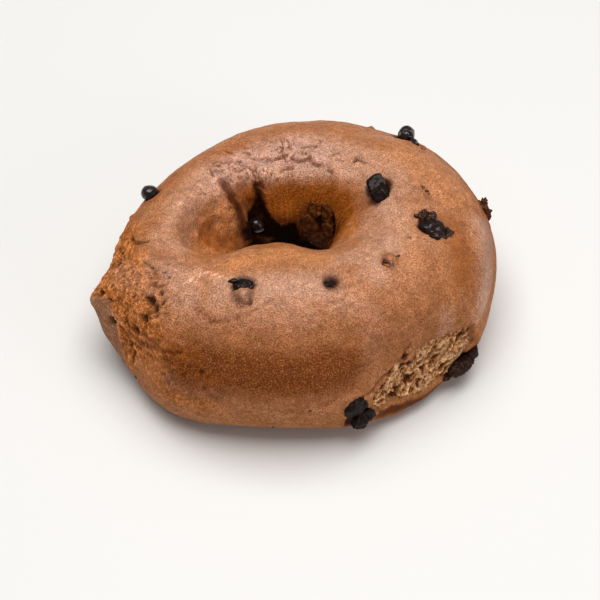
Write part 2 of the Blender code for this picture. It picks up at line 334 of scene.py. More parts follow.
crust = {
    "columns": 640,
    "rows": 154,
    # where the mesh is finer or coarser: a zone and how much
    "finer": [((206, 42, 40, 35, 70, 60), 0.9), ((308, 24, 28, 0, 60, 70), 0.8),
              ((95, 75, 70, 92, 40, 45), 0.8), ((0, 200, 200, 270, 45, 45), -0.65),
              ((0, 200, 200, 205, 45, 40), -0.25)],
    # lumps: zone, size in mm (across, along and through the unrolled crust where they are stretched),
    # height in mm, share of the tone (lighter on the lumps, painted shade in their hollows), seed, octaves
    "lumps": {
        "waves": ("all", 6.0, 0.16, 0.0, 11, 2),
        "fineWaves": ("all", 2.2, 0.05, 0.14, 21, 2),
        "pebble": ("all", 0.9, 0.045, 0.12, 31, 2),
        "streaks": ("all", (4.5, 0.8, 1.0), 0.0, 0.22, 35, 3),
        "roughBumps": ("rough", 2.6, 0.28, 0.30, 41, 3),
        "roughGrit": ("rough", 0.8, 0.06, 0.40, 45, 3),
        "backPlates": ("back", 2.6, 0.16, 0.35, 47, 3),
        "funnelBumps": ("funnel", 2.4, 0.28, 0.5, 49, 2),
        "holeStreaks": ("hole", (1.3, 9.0, 1.0), 0.38, 1.0, 81, 2),
    },
    "lowRough": 0.6,             # how rough the low rough zone is
    "skinSmooth": 0.85,          # how much of the roughness the skin at the beak takes away
    "roughWebs": [(1.9 * mm, 0.09 * mm, 53), (0.9 * mm, 0.05 * mm, 54)],
    "webLevel": 0.45,            # webs rise above this level and sink below it
    "webTone": 0.30,
    "fibreTone": 0.45,
    # how dark the pits are painted: painted shade
    "pitShade": 0.8,
    "roughPits": {"size": 2.6 * mm, "depth": 0.85 * mm, "share": (0.12, 0.34), "seed": 51,
                  "where": (4 * mm, -0.1, 0.5, 61)},
    # winding lines: their size along and across, how wide, how high or deep, and how far they sway
    "roughFibres": {"size": (4.5 * mm, 1.1 * mm), "width": 0.18, "height": 0.20 * mm, "seed": 57,
                    "sway": (1.2 * mm, 5 * mm, 59)},
    "backCreases": {"size": (5.0 * mm, 1.9 * mm), "width": 0.15, "height": 0.45 * mm, "seed": 73,
                    "sway": (0.6 * mm, 2.5 * mm, 71), "where": (5 * mm, -0.05, 0.35, 75)},
    "unrolled": (30 * mm, 17 * mm),     # the crust's length for a radian of bearing and of lift
    "socket": (0.55 * mm, 0.75 * mm),   # round a chip: how wide and how deep
    "socketShade": (0.9, 0.45 * mm),     # and how dark it is painted as shade, and how far that reaches
    "rim": (1.1 * mm, 1.1 * mm, 0.10 * mm),     # how far from a chip it swells, how wide and how high
    "tornEdge": (0.5 * mm, 0.45 * mm, 0.18 * mm),
    "tornSink": (2.6 * mm, -0.15 * mm, 0.35 * mm),  # how deep, and the way inside the outline it takes
    "foot": 2.5 * mm,            # relief fades out this near the table
}

# How the crust is coloured by its lift, in degrees: amber on the hole's walls, partly painted shade, and
# black painted shade lower in the hole; where each colour sets in and where it is full
bakeAndShade = {
    "amberAndShade": (122.0, 150.0),
    "deep": (172.0, 200.0),
    "deepRight": (10.0, 40.0, 18.0),    # round this bearing, over this reach, the black painted shade sets in so much later
    "underneath": (235.0, 265.0),
    "ragged": (9.0, 4 * mm, 151),
    "sideToast": 0.40,
    "chipStain": 0.5 * mm,       # how far the dark stain round a chip reaches
    # golden in the funnel is partly painted light on its lit wall
    "funnelGold": 0.9,
    "funnelPale": 0.85,          # how much of the amber, partly painted shade, the funnel lacks
    "gloss": {"crown": 0.85, "back": 0.9, "funnel": 0.6},
    "dull": {"rough": 0.9, "crackle": 0.8, "stainAndShade": 0.85, "hole": 0.85},
}

# Outlines on the crust: their corners as pixels of the photograph, or as bearings and lifts; the middle
# and the reach that hold them; the way along the crust for a degree of bearing and of lift; and how
# ragged the edge is, over what size and with what seed
outlines = {
    # the bare crumb of the torn side
    "torn": {"pixels": [(473, 325), (455, 332), (438, 338), (424, 344), (412, 360), (397, 363), (390, 371),
                        (384, 384), (373, 397), (373, 405), (380, 411), (395, 400), (407, 398), (422, 395),
                        (438, 380), (454, 371), (467, 350)],
             "middle": (308, 0), "reach": (40, 100), "perDegree": (0.93 * mm, 0.33 * mm),
             "ragged": (0.35 * mm, 1.3 * mm, 5)},
    # where the hole is painted black as shade
    "black": {"pixels": [(257, 186), (262, 190), (265, 200), (268, 210), (273, 218), (281, 225), (287, 223),
                         (291, 220), (296, 222), (299, 231), (306, 246), (246, 242), (247, 224), (249, 210),
                         (254, 203)],
              "middle": (110, 170), "reach": (90, 60), "perDegree": (0.17 * mm, 0.30 * mm),
              "ragged": (0.3 * mm, 1.2 * mm, 153)},
    # the smooth skin at the beak, where another bagel touched it
    "skin": {"corners": [(200, 6), (204, 19), (209, 25), (213, 20), (215, 10), (217, -5), (219, -24),
                         (222, -46), (210, -56), (199, -40)],
             "middle": (210, 0), "reach": (30, 80), "perDegree": (0.75 * mm, 0.33 * mm),
             "ragged": (0.15 * mm, 1.5 * mm, 7)},
}

# Creases and cracks, each a line of pixels with its width and depth
creases = [
    ([(252, 158), (258, 160), (265, 159)], 0.45, 0.40),
    ([(267, 159), (273, 161), (279, 158), (283, 155)], 0.45, 0.45),
    ([(292, 158), (298, 161), (305, 160), (309, 158)], 0.55, 0.60),
    ([(309, 160), (315, 165), (321, 166), (326, 168), (331, 172)], 0.55, 0.60),
    ([(281, 172), (286, 169), (292, 169)], 0.40, 0.35),
    ([(302, 147), (309, 146), (316, 146)], 0.40, 0.30),
    ([(329, 156), (334, 154), (338, 153)], 0.40, 0.35),
    ([(354, 162), (356, 157), (361, 161), (366, 163)], 0.45, 0.45),
    ([(226, 151), (231, 153)], 0.45, 0.40),
    ([(243, 152), (249, 153)], 0.40, 0.30),
    ([(226, 162), (232, 161)], 0.45, 0.35),
    ([(210, 168), (213, 175)], 0.50, 0.40),
    ([(131, 238), (135, 243), (142, 243), (149, 241)], 0.45, 1.10),
    ([(121, 255), (125, 250)], 0.60, 0.70),
    ([(115, 267), (120, 260)], 0.60, 0.70),
    ([(206, 317), (211, 322), (216, 322)], 0.50, 0.55),
    ([(195, 308), (203, 313), (210, 317)], 0.45, 0.25),
    ([(216, 321), (230, 320), (243, 315), (256, 310)], 0.45, 0.28),
    ([(262, 304), (275, 298), (290, 296), (306, 299)], 0.50, 0.16),
    ([(322, 304), (334, 303), (346, 299)], 0.50, 0.14),
    ([(337, 317), (346, 309), (354, 303)], 0.60, 0.16),
    ([(141, 341), (152, 347), (165, 352), (180, 353)], 0.55, 0.35),
    ([(136, 330), (146, 338), (156, 345)], 0.50, 0.30),
    ([(359, 399), (373, 391), (382, 378), (391, 370), (400, 360), (411, 343)], 0.40, 0.45),
    ([(225, 184), (231, 194), (238, 207), (243, 220), (246, 236)], 1.9, 1.2),
    ([(258, 187), (259, 200), (260, 216)], 1.8, 2.0),
    ([(120, 327), (140, 343), (152, 350)], 0.45, 0.35),
    ([(126, 333), (134, 350), (133, 362)], 0.6, 0.5),
    ([(143, 262), (152, 268), (158, 277)], 0.5, 0.4),
    ([(148, 283), (157, 287), (166, 285)], 0.5, 0.4),
    ([(170, 292), (178, 297), (180, 304)], 0.4, 0.3),
]

# Threads of pulled dough, each a line of pixels with its width and height
threads = [
    ([(141, 334), (152, 345), (164, 354), (184, 356)], 0.30, 0.30),
    ([(126, 334), (130, 346), (129, 361)], 0.30, 0.25),
    ([(113, 312), (118, 326), (122, 342)], 0.40, 0.35),
    ([(127, 289), (132, 298), (132, 315)], 0.25, 0.30),
    ([(153, 324), (164, 336), (184, 344)], 0.28, 0.25),
    ([(136, 307), (149, 319), (149, 336)], 0.25, 0.28),
    ([(160, 345), (178, 350), (200, 348)], 0.25, 0.22),
    ([(140, 350), (155, 362), (176, 366)], 0.25, 0.22),
    ([(120, 296), (131, 303), (139, 313)], 0.25, 0.25),
    ([(186, 283), (197, 275), (209, 272), (222, 277), (232, 280)], 0.35, 0.20),
    ([(200, 268), (201, 274), (196, 282)], 0.30, 0.15),
]

# Pits, each a pixel with its radius and depth
pits = [
    ((150, 302), 1.45, 1.7), ((154, 310), 1.1, 1.3), ((161, 294), 0.75, 0.8), ((144, 320), 1.35, 1.4),
    ((136, 331), 1.3, 1.4), ((113, 321), 1.15, 1.2), ((101, 293), 0.9, 0.8), ((119, 252), 1.1, 1.2),
    ((118, 264), 1.0, 1.1), ((130, 346), 0.6, 0.6), ((146, 297), 0.5, 0.5), ((163, 303), 0.5, 0.5),
    ((157, 316), 0.5, 0.5), ((134, 296), 0.4, 0.4), ((168, 264), 0.4, 0.4), ((152, 268), 0.4, 0.4),
    ((165, 272), 0.4, 0.45), ((169, 278), 0.4, 0.4), ((321, 141), 0.4, 0.6), ((356, 160), 0.45, 0.5),
    ((316, 146), 0.3, 0.3), ((384, 263), 0.8, 0.9), ((396, 256), 0.55, 0.5), ((405, 357), 0.9, 0.9),
    ((202, 373), 0.7, 0.4), ((409, 237), 0.5, 0.4), ((250, 303), 0.5, 0.4),
]

# Bumps, each a pixel with its radius and height
bumps = [
    ((131, 217), 0.8, 0.6), ((372, 126), 0.7, 0.8), ((196, 236), 1.1, 0.35), ((212, 251), 0.9, 0.3),
    ((253, 196), 1.5, 1.0), ((286, 215), 2.6, 1.2), ((390, 260), 1.5, 0.9), ((206, 306), 1.0, 0.25),
    ((228, 302), 1.2, 0.2), ((391, 262), 1.2, 0.25), ((176, 377), 2.2, 0.2), ((285, 176), 1.6, 0.25),
    ((300, 175), 1.4, 0.2), ((110, 316), 0.45, 0.5), ((116, 310), 0.35, 0.35),
]

# Dough that baked over a chip: a pixel with its radius and height
covers = [((240, 296), 2.1, 0.85), ((247, 295), 2.1, 0.85), ((390, 260), 1.5, 0.4)]

# How these marks show: how ragged they are by what noises (size and seed), and their factors; the dark of
# creases is painted shade
marks = {
    "creases": {"ragged": (0.30 * mm, [(0.8 * mm, 91), (2.0 * mm, 92)]), "width": 0.72 * mm,
                "depth": 1.2 * mm, "crackledBy": 0.35, "dark": 0.6, "darkBy": 0.9},   # full at these depths
    "threads": {"ragged": (0.5 * mm, [(0.9 * mm, 99)]), "toneAndShade": 0.9},
    "pits": {"ragged": (0.35, [(1.1 * mm, 93)]), "depth": 1.2 * mm},
    "covers": {"ragged": (0.3, [(1.6 * mm, 95)]), "lumps": (0.15, 1.2 * mm, 97)},
}

# Colour laid on the crust: for each mask, lines of pixels with a radius in millimetres and a strength
paint = {
    # toast: the darker browned band round the side, and painted shade on the hole's back wall
    "toastAndShade": [
        ([(186, 364), (205, 367), (230, 371), (265, 375), (300, 376), (342, 369)], 11.0, 0.95),
        ([(175, 346), (205, 344), (265, 346), (330, 344), (375, 344)], 12.0, 0.38),
        ([(284, 196), (320, 196), (342, 200)], 4.5, 0.55),
        ([(385, 345), (405, 325), (430, 300)], 9.0, 0.3), ([(331, 283)], 3.4, 0.7),
        ([(238, 198), (268, 202)], 4.5, 0.75),
        ([(384, 413), (402, 407), (425, 399), (444, 387)], 2.0, 0.75),
    ],
    # golden: brighter orange crust, partly painted light on the lit top right and on the lit right wall of
    # the hole
    "goldenAndLit": [
        ([(400, 152), (425, 168), (450, 195)], 7.0, 0.5), ([(402, 222), (410, 262)], 4.0, 0.3),
        ([(344, 210), (350, 232)], 4.0, 0.9),
        ([(234, 264), (262, 256), (292, 254), (322, 258)], 4.5, 0.75),
        ([(340, 129), (370, 137), (395, 150)], 4.5, 0.6),
    ],
    "gloss": [
        ([(180, 212), (195, 190), (215, 168)], 7.0, 1.0), ([(392, 150), (396, 180)], 5.0, 0.9),
        ([(166, 270), (186, 280), (182, 300)], 8.0, 0.65),
        ([(225, 285), (266, 284), (300, 284), (325, 288)], 7.0, 1.0),
        ([(372, 205), (394, 215), (390, 250), (368, 272)], 7.0, 1.0),
        ([(344, 258), (380, 250)], 4.0, 0.8),
        ([(262, 166), (300, 170), (345, 170), (366, 176)], 4.2, 1.0),
        ([(350, 152), (395, 162), (402, 200)], 5.0, 0.8),
        ([(484, 225), (488, 255), (488, 280), (484, 300)], 5.0, 0.7),
        ([(165, 225), (175, 250)], 5.0, 0.5), ([(180, 216), (192, 232), (186, 248)], 4.0, 0.8),
    ],
    # pale: painted sheen and highlight on the lit crests and slopes, with a few thin pale marks
    "pale": [
        ([(206, 273), (226, 282), (236, 284)], 1.3, 0.6), ([(330, 308), (350, 301)], 1.6, 0.5),
        ([(402, 222), (411, 240)], 2.0, 0.6), ([(111, 309), (119, 324)], 0.5, 0.9),
        ([(262, 302), (285, 295), (306, 300)], 1.0, 0.5), ([(217, 300), (205, 306)], 1.6, 0.5),
        ([(160, 262), (186, 272), (180, 295)], 7.0, 0.6), ([(182, 206), (192, 216)], 4.0, 0.8),
        ([(172, 224), (186, 210), (192, 232), (180, 250)], 4.5, 0.6),
        ([(255, 140), (300, 135), (330, 138)], 4.0, 0.4),
        ([(330, 150), (350, 155), (372, 166), (372, 182)], 5.0, 0.6),
        ([(345, 300), (372, 318), (372, 350)], 5.0, 0.3),
        ([(332, 262), (352, 256), (363, 246)], 3.5, 0.6),
        ([(118, 272), (140, 282), (160, 296), (166, 314)], 5.5, 0.32),
        ([(222, 300), (262, 298), (298, 296)], 5.5, 0.5), ([(180, 312), (210, 316)], 5.0, 0.3),
        ([(240, 314), (300, 314)], 6.0, 0.3), ([(447, 316), (445, 332)], 4.5, 0.65),
        ([(185, 300), (230, 310), (255, 300)], 5.0, 0.4),
        ([(362, 222), (375, 235), (372, 258), (350, 256)], 5.0, 0.6),
        ([(160, 235), (170, 250)], 5.0, 0.5), ([(300, 152), (345, 158), (370, 165)], 5.0, 0.4),
        ([(250, 172), (300, 174), (350, 172)], 3.5, 0.7), ([(336, 246), (350, 238)], 3.0, 0.6),
        ([(180, 210), (195, 190), (215, 168)], 7.0, 0.45),
        ([(385, 205), (397, 225), (392, 245)], 5.5, 0.8),
        ([(262, 286), (300, 283), (325, 282)], 6.0, 0.5), ([(370, 262), (380, 278)], 4.0, 0.4),
        ([(345, 258)], 3.0, 0.5), ([(478, 225), (484, 255), (484, 290), (478, 314)], 5.0, 0.8),
        ([(350, 150), (392, 160), (398, 190)], 5.0, 0.45),
    ],
    "bruise": [
        ([(176, 377)], 3.0, 0.6), ([(170, 381), (192, 389), (214, 394)], 4.5, 0.45),
        ([(244, 296)], 2.4, 0.35), ([(152, 290)], 3.2, 0.5), ([(166, 276)], 2.0, 0.4),
    ],
    # amber: deeper-baked orange, and painted shade on the hole's walls and along the left edge
    "amberAndShade": [
        ([(380, 416), (400, 410), (425, 402), (446, 388)], 2.6, 0.85),
        ([(246, 190), (284, 194), (320, 195), (345, 200)], 4.5, 0.95),
        ([(472, 332), (477, 346)], 2.4, 0.7), ([(160, 256), (188, 262), (214, 258)], 3.8, 0.45),
        ([(206, 238), (222, 244), (240, 239)], 4.4, 0.85),
        ([(101, 268), (110, 243), (123, 220)], 3.6, 0.75), ([(202, 373)], 1.6, 0.9),
        ([(167, 350), (185, 354), (200, 358)], 2.2, 0.5),
        ([(430, 145), (460, 170), (478, 200)], 4.0, 0.35),
        ([(300, 127), (345, 130), (385, 145)], 5.0, 0.35),
        ([(448, 222), (460, 250), (462, 275)], 6.0, 0.65),
        ([(130, 225), (150, 200), (175, 175)], 5.0, 0.4),
        ([(240, 192), (266, 196), (280, 205)], 3.5, 0.8),
        ([(208, 226), (212, 243), (228, 238)], 3.6, 0.8),
        ([(210, 160), (250, 138), (285, 130)], 4.0, 0.35), ([(388, 258)], 2.8, 0.5),
        ([(331, 283)], 3.0, 0.8),
    ],
    # stain: chocolate stains round the chips, and painted shade under the top right chip and on the hole's
    # right wall
    "stainAndShade": [
        ([(238, 279), (248, 278)], 1.6, 0.55), ([(331, 283)], 2.1, 0.8), ([(384, 262)], 0.9, 0.8),
        ([(396, 257)], 0.7, 0.7),
        ([(234, 286), (235, 297), (242, 304), (250, 303), (253, 291)], 0.9, 0.6),
        ([(378, 415), (390, 410), (403, 406), (420, 400), (440, 390)], 2.0, 0.72),
        ([(459, 338), (466, 346), (471, 340)], 1.6, 0.5), ([(380, 196), (376, 200)], 3.4, 0.95),
        ([(434, 230)], 4.0, 0.5), ([(424, 188), (428, 198)], 1.6, 0.4), ([(405, 357)], 1.5, 0.8),
        ([(257, 226)], 3.5, 0.5), ([(202, 373)], 0.9, 0.5),
        ([(312, 212), (326, 214), (322, 232), (310, 236)], 3.4, 0.85),
    ],
}


def gridPlaces(columns, rows, finer):
    # bearings and lifts of a mesh that is finer where the zones say, wherever the crust turns most
    def weight(bearing, lift):
        return 1.0 + sum(more * zoneShare(bearing, lift, zone) for zone, more in finer)
    fine = np.linspace(0.0, 360.0, 1441)
    wide = sampled(coreGrid, fine, 0 * fine) + sampled(reachGrid, fine, 20.0 + 0 * fine)
    top = weight(fine[:, None], np.array([[15.0, 60.0, 90.0]])).max(axis=1)
    total = np.concatenate([[0.0], np.cumsum((wide * top)[1:])])
    steps = np.arange(columns) / columns
    bearings = np.interp(steps * total[-1], total, fine)
    lifts = np.zeros((columns, rows))
    fine = np.linspace(-90.0, 270.0, 1081)
    for i, bearing in enumerate(bearings):
        points = surfaceAt(bearing, fine)
        length = np.linalg.norm(np.diff(points, axis=0), axis=-1)
        length *= weight(bearing, 0.5 * (fine[1:] + fine[:-1]))
        total = np.concatenate([[0.0], np.cumsum(length)])
        lifts[i] = np.interp(np.arange(rows) / rows * total[-1], total, fine)
    return bearings, lifts


def outward(points, wrap=True):
    # unit normals of a grid of points
    if wrap:
        along = np.roll(points, -1, axis=0) - np.roll(points, 1, axis=0)
        across = np.roll(points, -1, axis=1) - np.roll(points, 1, axis=1)
    else:
        along, across = np.gradient(points, axis=0), np.gradient(points, axis=1)
    normals = np.cross(along, across)
    return normals / np.maximum(np.linalg.norm(normals, axis=-1, keepdims=True), 1e-12)


def gridFaces(columns, rows, wrap=True):
    index = np.arange(columns * rows).reshape(columns, rows)
    if wrap:
        after, above = np.roll(index, -1, axis=0), np.roll(index, -1, axis=1)
        corners = [index, after, np.roll(after, -1, axis=1), above]
    else:
        corners = [index[:-1, :-1], index[1:, :-1], index[1:, 1:], index[:-1, 1:]]
    return np.stack([corner.ravel() for corner in corners], axis=-1).tolist()


def setMask(mesh, key, values):
    layer = mesh.attributes.new(key, "FLOAT", "POINT")
    layer.data.foreach_set("value", np.asarray(values, np.float32).ravel())


def gridMesh(name, points, masks, wrap=True):
    # one mesh from a grid of points, with each mask as an attribute that the materials read
    mesh = bpy.data.meshes.new(name)
    mesh.from_pydata(points.reshape(-1, 3).tolist(), [], gridFaces(*points.shape[:2], wrap))
    mesh.shade_smooth()
    for key, values in masks.items():
        setMask(mesh, key, values)
    return placed(name, mesh)


def insideOutline(points, key, ragged=True):
    # how far inside an outline each point is, in metres, below 0 outside it
    outline = outlines[key]
    middle, unit = outline["middle"], np.array(outline["perDegree"])
    if "pixels" in outline:
        corners = zip(*polarOf(np.array([spotOn(pixel) for pixel in outline["pixels"]])))
    else:
        corners = outline["corners"]
    bearing, lift = polarOf(points)
    corner = np.array([(turned(turn, middle[0]), turned(rise, middle[1])) for turn, rise in corners]) * unit
    offset = np.stack([turned(bearing, middle[0]), turned(lift, middle[1])], axis=-1)
    place = offset * unit
    inside = np.zeros(len(place), bool)
    nearest = np.full(len(place), 1.0)
    for start, end in zip(corner, np.roll(corner, -1, axis=0)):
        side = end - start
        share = np.clip(((place - start) @ side) / (side @ side), 0.0, 1.0)
        nearest = np.minimum(nearest, np.linalg.norm(place - start - share[:, None] * side, axis=-1))
        spans = (start[1] > place[:, 1]) != (end[1] > place[:, 1])
        height = np.where(side[1] == 0.0, 1e-9, side[1])
        inside ^= spans & (place[:, 0] < start[0] + (place[:, 1] - start[1]) * side[0] / height)
    near = np.all(np.abs(offset) < outline["reach"], axis=-1)
    depth = np.where(near, np.where(inside, nearest, -nearest), -1.0)
    if ragged:
        amount, size, seed = outline["ragged"]
        depth = depth + amount * layered(points, size, seed, 2)
    return depth


def chipGap(points):
    # how far each point is from the nearest chip, below 0 inside one
    gap = np.full(len(points), 0.05)
    for name, node in chipNodes.items():
        tree = treeOf(node)
        low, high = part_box(name)
        close = np.all((points > np.array(low) - 3 * mm) & (points < np.array(high) + 3 * mm), axis=-1)
        for k in np.flatnonzero(close):
            spot, normal, _, away = tree.find_nearest(Vector(points[k]))
            side = 1.0 if (Vector(points[k]) - spot).dot(normal) > 0.0 else -1.0
            gap[k] = min(gap[k], side * away)
    return gap


def painted(points, key, share):
    # the mask with every line of its paint laid on, its edges ragged
    amount, size, seed = 0.5 * mm, 2.5 * mm, 141
    warp = amount * layered(points, size, seed, 2)
    for pixels, radius, strength in paint[key]:
        near = nearness(points, pathOn(pixels), radius * mm + mm)
        share = np.maximum(share, strength * (1.0 - eased(0.25, 1.0, (near + warp) / (radius * mm))))
    return share


def raggedZone(points, bearing, lift, key):
    zone, ragged, (low, high) = zones[key]
    share = zoneShare(bearing, lift, zone)
    if ragged:
        amount, size, seed = ragged
        share = share + amount * layered(points, size, seed)
    return eased(low, high, share)


def patchy(points, size, low, high, seed):
    return eased(low, high, noiseAt(points, size, seed))


def webbed(points, size, seed):
    # high on the walls between soft cells
    return 1.0 - 2.6 * np.abs(noiseAt(points, size, seed))


def winding(points, unrolled, kind):
    # 1 on thin lines that wind and sway along the crust
    shift, length, seed = kind["sway"]
    swayed = unrolled + np.outer(shift * noiseAt(points, length, seed), (0.0, 1.0, 0.0))
    return 1.0 - eased(0.0, kind["width"], np.abs(layered(swayed, (*kind["size"], 1.0), kind["seed"], 2)))


def lineOver(points, pixels, width, ragged):
    # 1 along a line of pixels, falling off over its width
    near = nearness(points, pathOn(pixels)) + ragged
    return np.exp(-(np.maximum(near, 0.0) / width) ** 2)


def spotOver(points, pixel, radius, ragged, low=0.55, high=1.25):
    # 1 in a ragged spot at a pixel, 0 past its edge
    near = np.linalg.norm(points - spotOn(pixel), axis=-1) + radius * ragged
    return 1.0 - eased(low, high, near / radius)


def raggedness(points, key):
    amount, noises = marks[key]["ragged"]
    return amount * sum(noiseAt(points, size, seed) for size, seed in noises)


def crustRelief(points, bearing, lift):
    # how far the crust rises at each point, and the masks that colour it, painted shade and sheen among them
    skin = eased(-0.2 * mm, 0.3 * mm, insideOutline(points, "skin"))
    low = crust["lowRough"] * raggedZone(points, bearing, lift, "lowRough")
    rough = np.maximum(raggedZone(points, bearing, lift, "rough"), low) * (1.0 - crust["skinSmooth"] * skin)
    back = raggedZone(points, bearing, lift, "back")
    funnel = raggedZone(points, bearing, lift, "funnel")
    hole = zoneShare(bearing, lift, plainZones["hole"])
    here = {"all": 1.0, "rough": rough, "back": back, "funnel": funnel, "hole": hole}
    torn = insideOutline(points, "torn")
    gap = chipGap(points)
    around, along = crust["unrolled"]
    unrolled = np.stack([np.radians(bearing) * around, np.radians(lift) * along, 0 * lift], axis=-1)

    rise, toneAndShade, cavityShade, cover = (np.zeros(len(points)) for _ in range(4))
    for zone, size, height, share, seed, octaves in crust["lumps"].values():
        flat = unrolled if isinstance(size, tuple) else points
        lumps = here[zone] * layered(flat, np.array(size) * mm, seed, octaves)
        rise += height * mm * lumps
        toneAndShade += share * lumps
    for size, height, seed in crust["roughWebs"]:
        web = rough * (webbed(points, size, seed) - crust["webLevel"])
        rise += height * web
        toneAndShade += crust["webTone"] * web
    fibres = winding(points, unrolled, crust["roughFibres"]) * rough
    rise += crust["roughFibres"]["height"] * fibres
    toneAndShade += crust["fibreTone"] * fibres
    kind = crust["roughPits"]
    pit = 1.0 - eased(*kind["share"], cellsAt(points, kind["size"], kind["seed"])[0])
    pit *= rough * patchy(points, *kind["where"])
    rise -= kind["depth"] * pit
    # painted shade in the pits
    cavityShade += crust["pitShade"] * pit
    kind = crust["backCreases"]
    crease = winding(points, unrolled, kind) * back * patchy(points, *kind["where"])
    rise -= kind["height"] * crease
    crackle = np.clip(1.4 * crease, 0.0, 1.0)

    look, ragged = marks["creases"], raggedness(points, "creases")
    for pixels, width, depth in creases:
        line = lineOver(points, pixels, width * look["width"], width * ragged)
        rise -= depth * look["depth"] * line
        crackle = np.maximum(crackle, line * min(depth / look["crackledBy"], 1.0))
        # painted shade in the creases
        cavityShade += look["dark"] * line * min(depth / look["darkBy"], 1.0)
    look, ragged = marks["threads"], raggedness(points, "threads")
    for pixels, width, height in threads:
        line = lineOver(points, pixels, width * mm, width * ragged)
        rise += height * mm * line
        toneAndShade += look["toneAndShade"] * line
    look, ragged = marks["pits"], raggedness(points, "pits")
    for pixel, radius, depth in pits:
        hollow = spotOver(points, pixel, radius * mm, ragged)
        rise -= depth * look["depth"] * hollow
        # painted shade in the pits
        cavityShade += hollow
    for pixel, radius, height in bumps:
        near = np.linalg.norm(points - spotOn(pixel), axis=-1) / (radius * mm)
        rise += height * mm * np.exp(-near ** 2)
    look, ragged = marks["covers"], raggedness(points, "covers")
    amount, size, seed = look["lumps"]
    lumpy = 1.0 + amount * noiseAt(points, size, seed)
    for pixel, radius, height in covers:
        lid = spotOver(points, pixel, radius * mm, ragged)
        rise += height * mm * lid * lumpy
        cover = np.maximum(cover, eased(0.25, 0.75, lid))

    reach, depth = crust["socket"]
    rise -= depth * (1.0 - eased(-0.3 * reach, reach, gap)) * (1.0 - cover)
    away, wide, height = crust["rim"]
    rise += height * np.exp(-((gap - away) / wide) ** 2)
    # painted shade in the dip round each chip
    amount, reach = crust["socketShade"]
    cavityShade += amount * (1.0 - eased(0.0, reach, gap)) * (1.0 - cover)
    away, wide, height = crust["tornEdge"]
    rise += height * np.exp(-((torn + away) / wide) ** 2)
    depth, low, high = crust["tornSink"]
    rise -= depth * eased(low, high, torn)
    rise *= eased(0.0, crust["foot"], points[:, 2])

    # amber then black by lift inside the hole: painted shade with ragged edges
    amount, size, seed = bakeAndShade["ragged"]
    warm = lift + amount * layered(points, size, seed, 2)
    middle, reach, later = bakeAndShade["deepRight"]
    cool = warm - later * np.exp(-(turned(bearing, middle) / reach) ** 2)
    # painted shade: the hole black inside this outline and on its lower walls
    black = eased(-0.5 * mm, 0.4 * mm, insideOutline(points, "black"))
    underneath = 1.0 - eased(*bakeAndShade["underneath"], lift)
    pale = 1.0 - bakeAndShade["funnelPale"] * funnel
    # chocolate stain round each chip, and the stain strokes, some of them painted shade
    stainAndShade = painted(points, "stainAndShade", np.exp(-np.maximum(gap, 0.0) / bakeAndShade["chipStain"]) * (1.0 - cover))
    crackle = np.clip(crackle, 0.0, 1.0)
    crown = zoneShare(bearing, lift, plainZones["gloss"])
    here = {**here, "crown": crown, "crackle": crackle, "stainAndShade": stainAndShade,
            "hole": eased(0.1, 0.6, hole) * (1.0 - funnel)}
    gloss = sum(amount * here[key] for key, amount in bakeAndShade["gloss"].items())
    dull = np.prod([1.0 - amount * here[key] for key, amount in bakeAndShade["dull"].items()], axis=0)
    return rise, {
        "rough": rough,
        "back": back,
        "skin": skin,
        "toneAndShade": np.clip(0.5 + 0.5 * toneAndShade, 0.0, 1.0),
        "crackle": crackle,
        "toastAndShade": painted(points, "toastAndShade", bakeAndShade["sideToast"] * zoneShare(bearing, lift, plainZones["side"])),
        "pale": painted(points, "pale", 0.0 * lift),
        "bruise": painted(points, "bruise", 0.0 * lift),
        "amberAndShade": painted(points, "amberAndShade", eased(*bakeAndShade["amberAndShade"], warm) * underneath * pale),
        "deep": np.maximum(black, eased(*bakeAndShade["deep"], cool)) * underneath,
        "gloss": painted(points, "gloss", np.clip(gloss, 0.0, 1.0)) * dull,
        "cavityShade": np.clip(cavityShade, 0.0, 1.0),
        "torn": eased(-0.3 * mm, 0.2 * mm, torn),
        "goldenAndLit": painted(points, "goldenAndLit", bakeAndShade["funnelGold"] * funnel),
        "stainAndShade": stainAndShade,
    }


def makeCrust():
    bearings, lifts = gridPlaces(crust["columns"], crust["rows"], crust["finer"])
    points = surfaceAt(bearings[:, None], lifts)
    normals = outward(points)
    flat = points.reshape(-1, 3)
    rise, masks = crustRelief(flat, np.repeat(bearings, crust["rows"]), lifts.ravel())
    moved = flat + normals.reshape(-1, 3) * rise[:, None]
    moved[:, 2] = np.maximum(moved[:, 2], 0.0)
    return gridMesh("crust", moved.reshape(points.shape), masks)


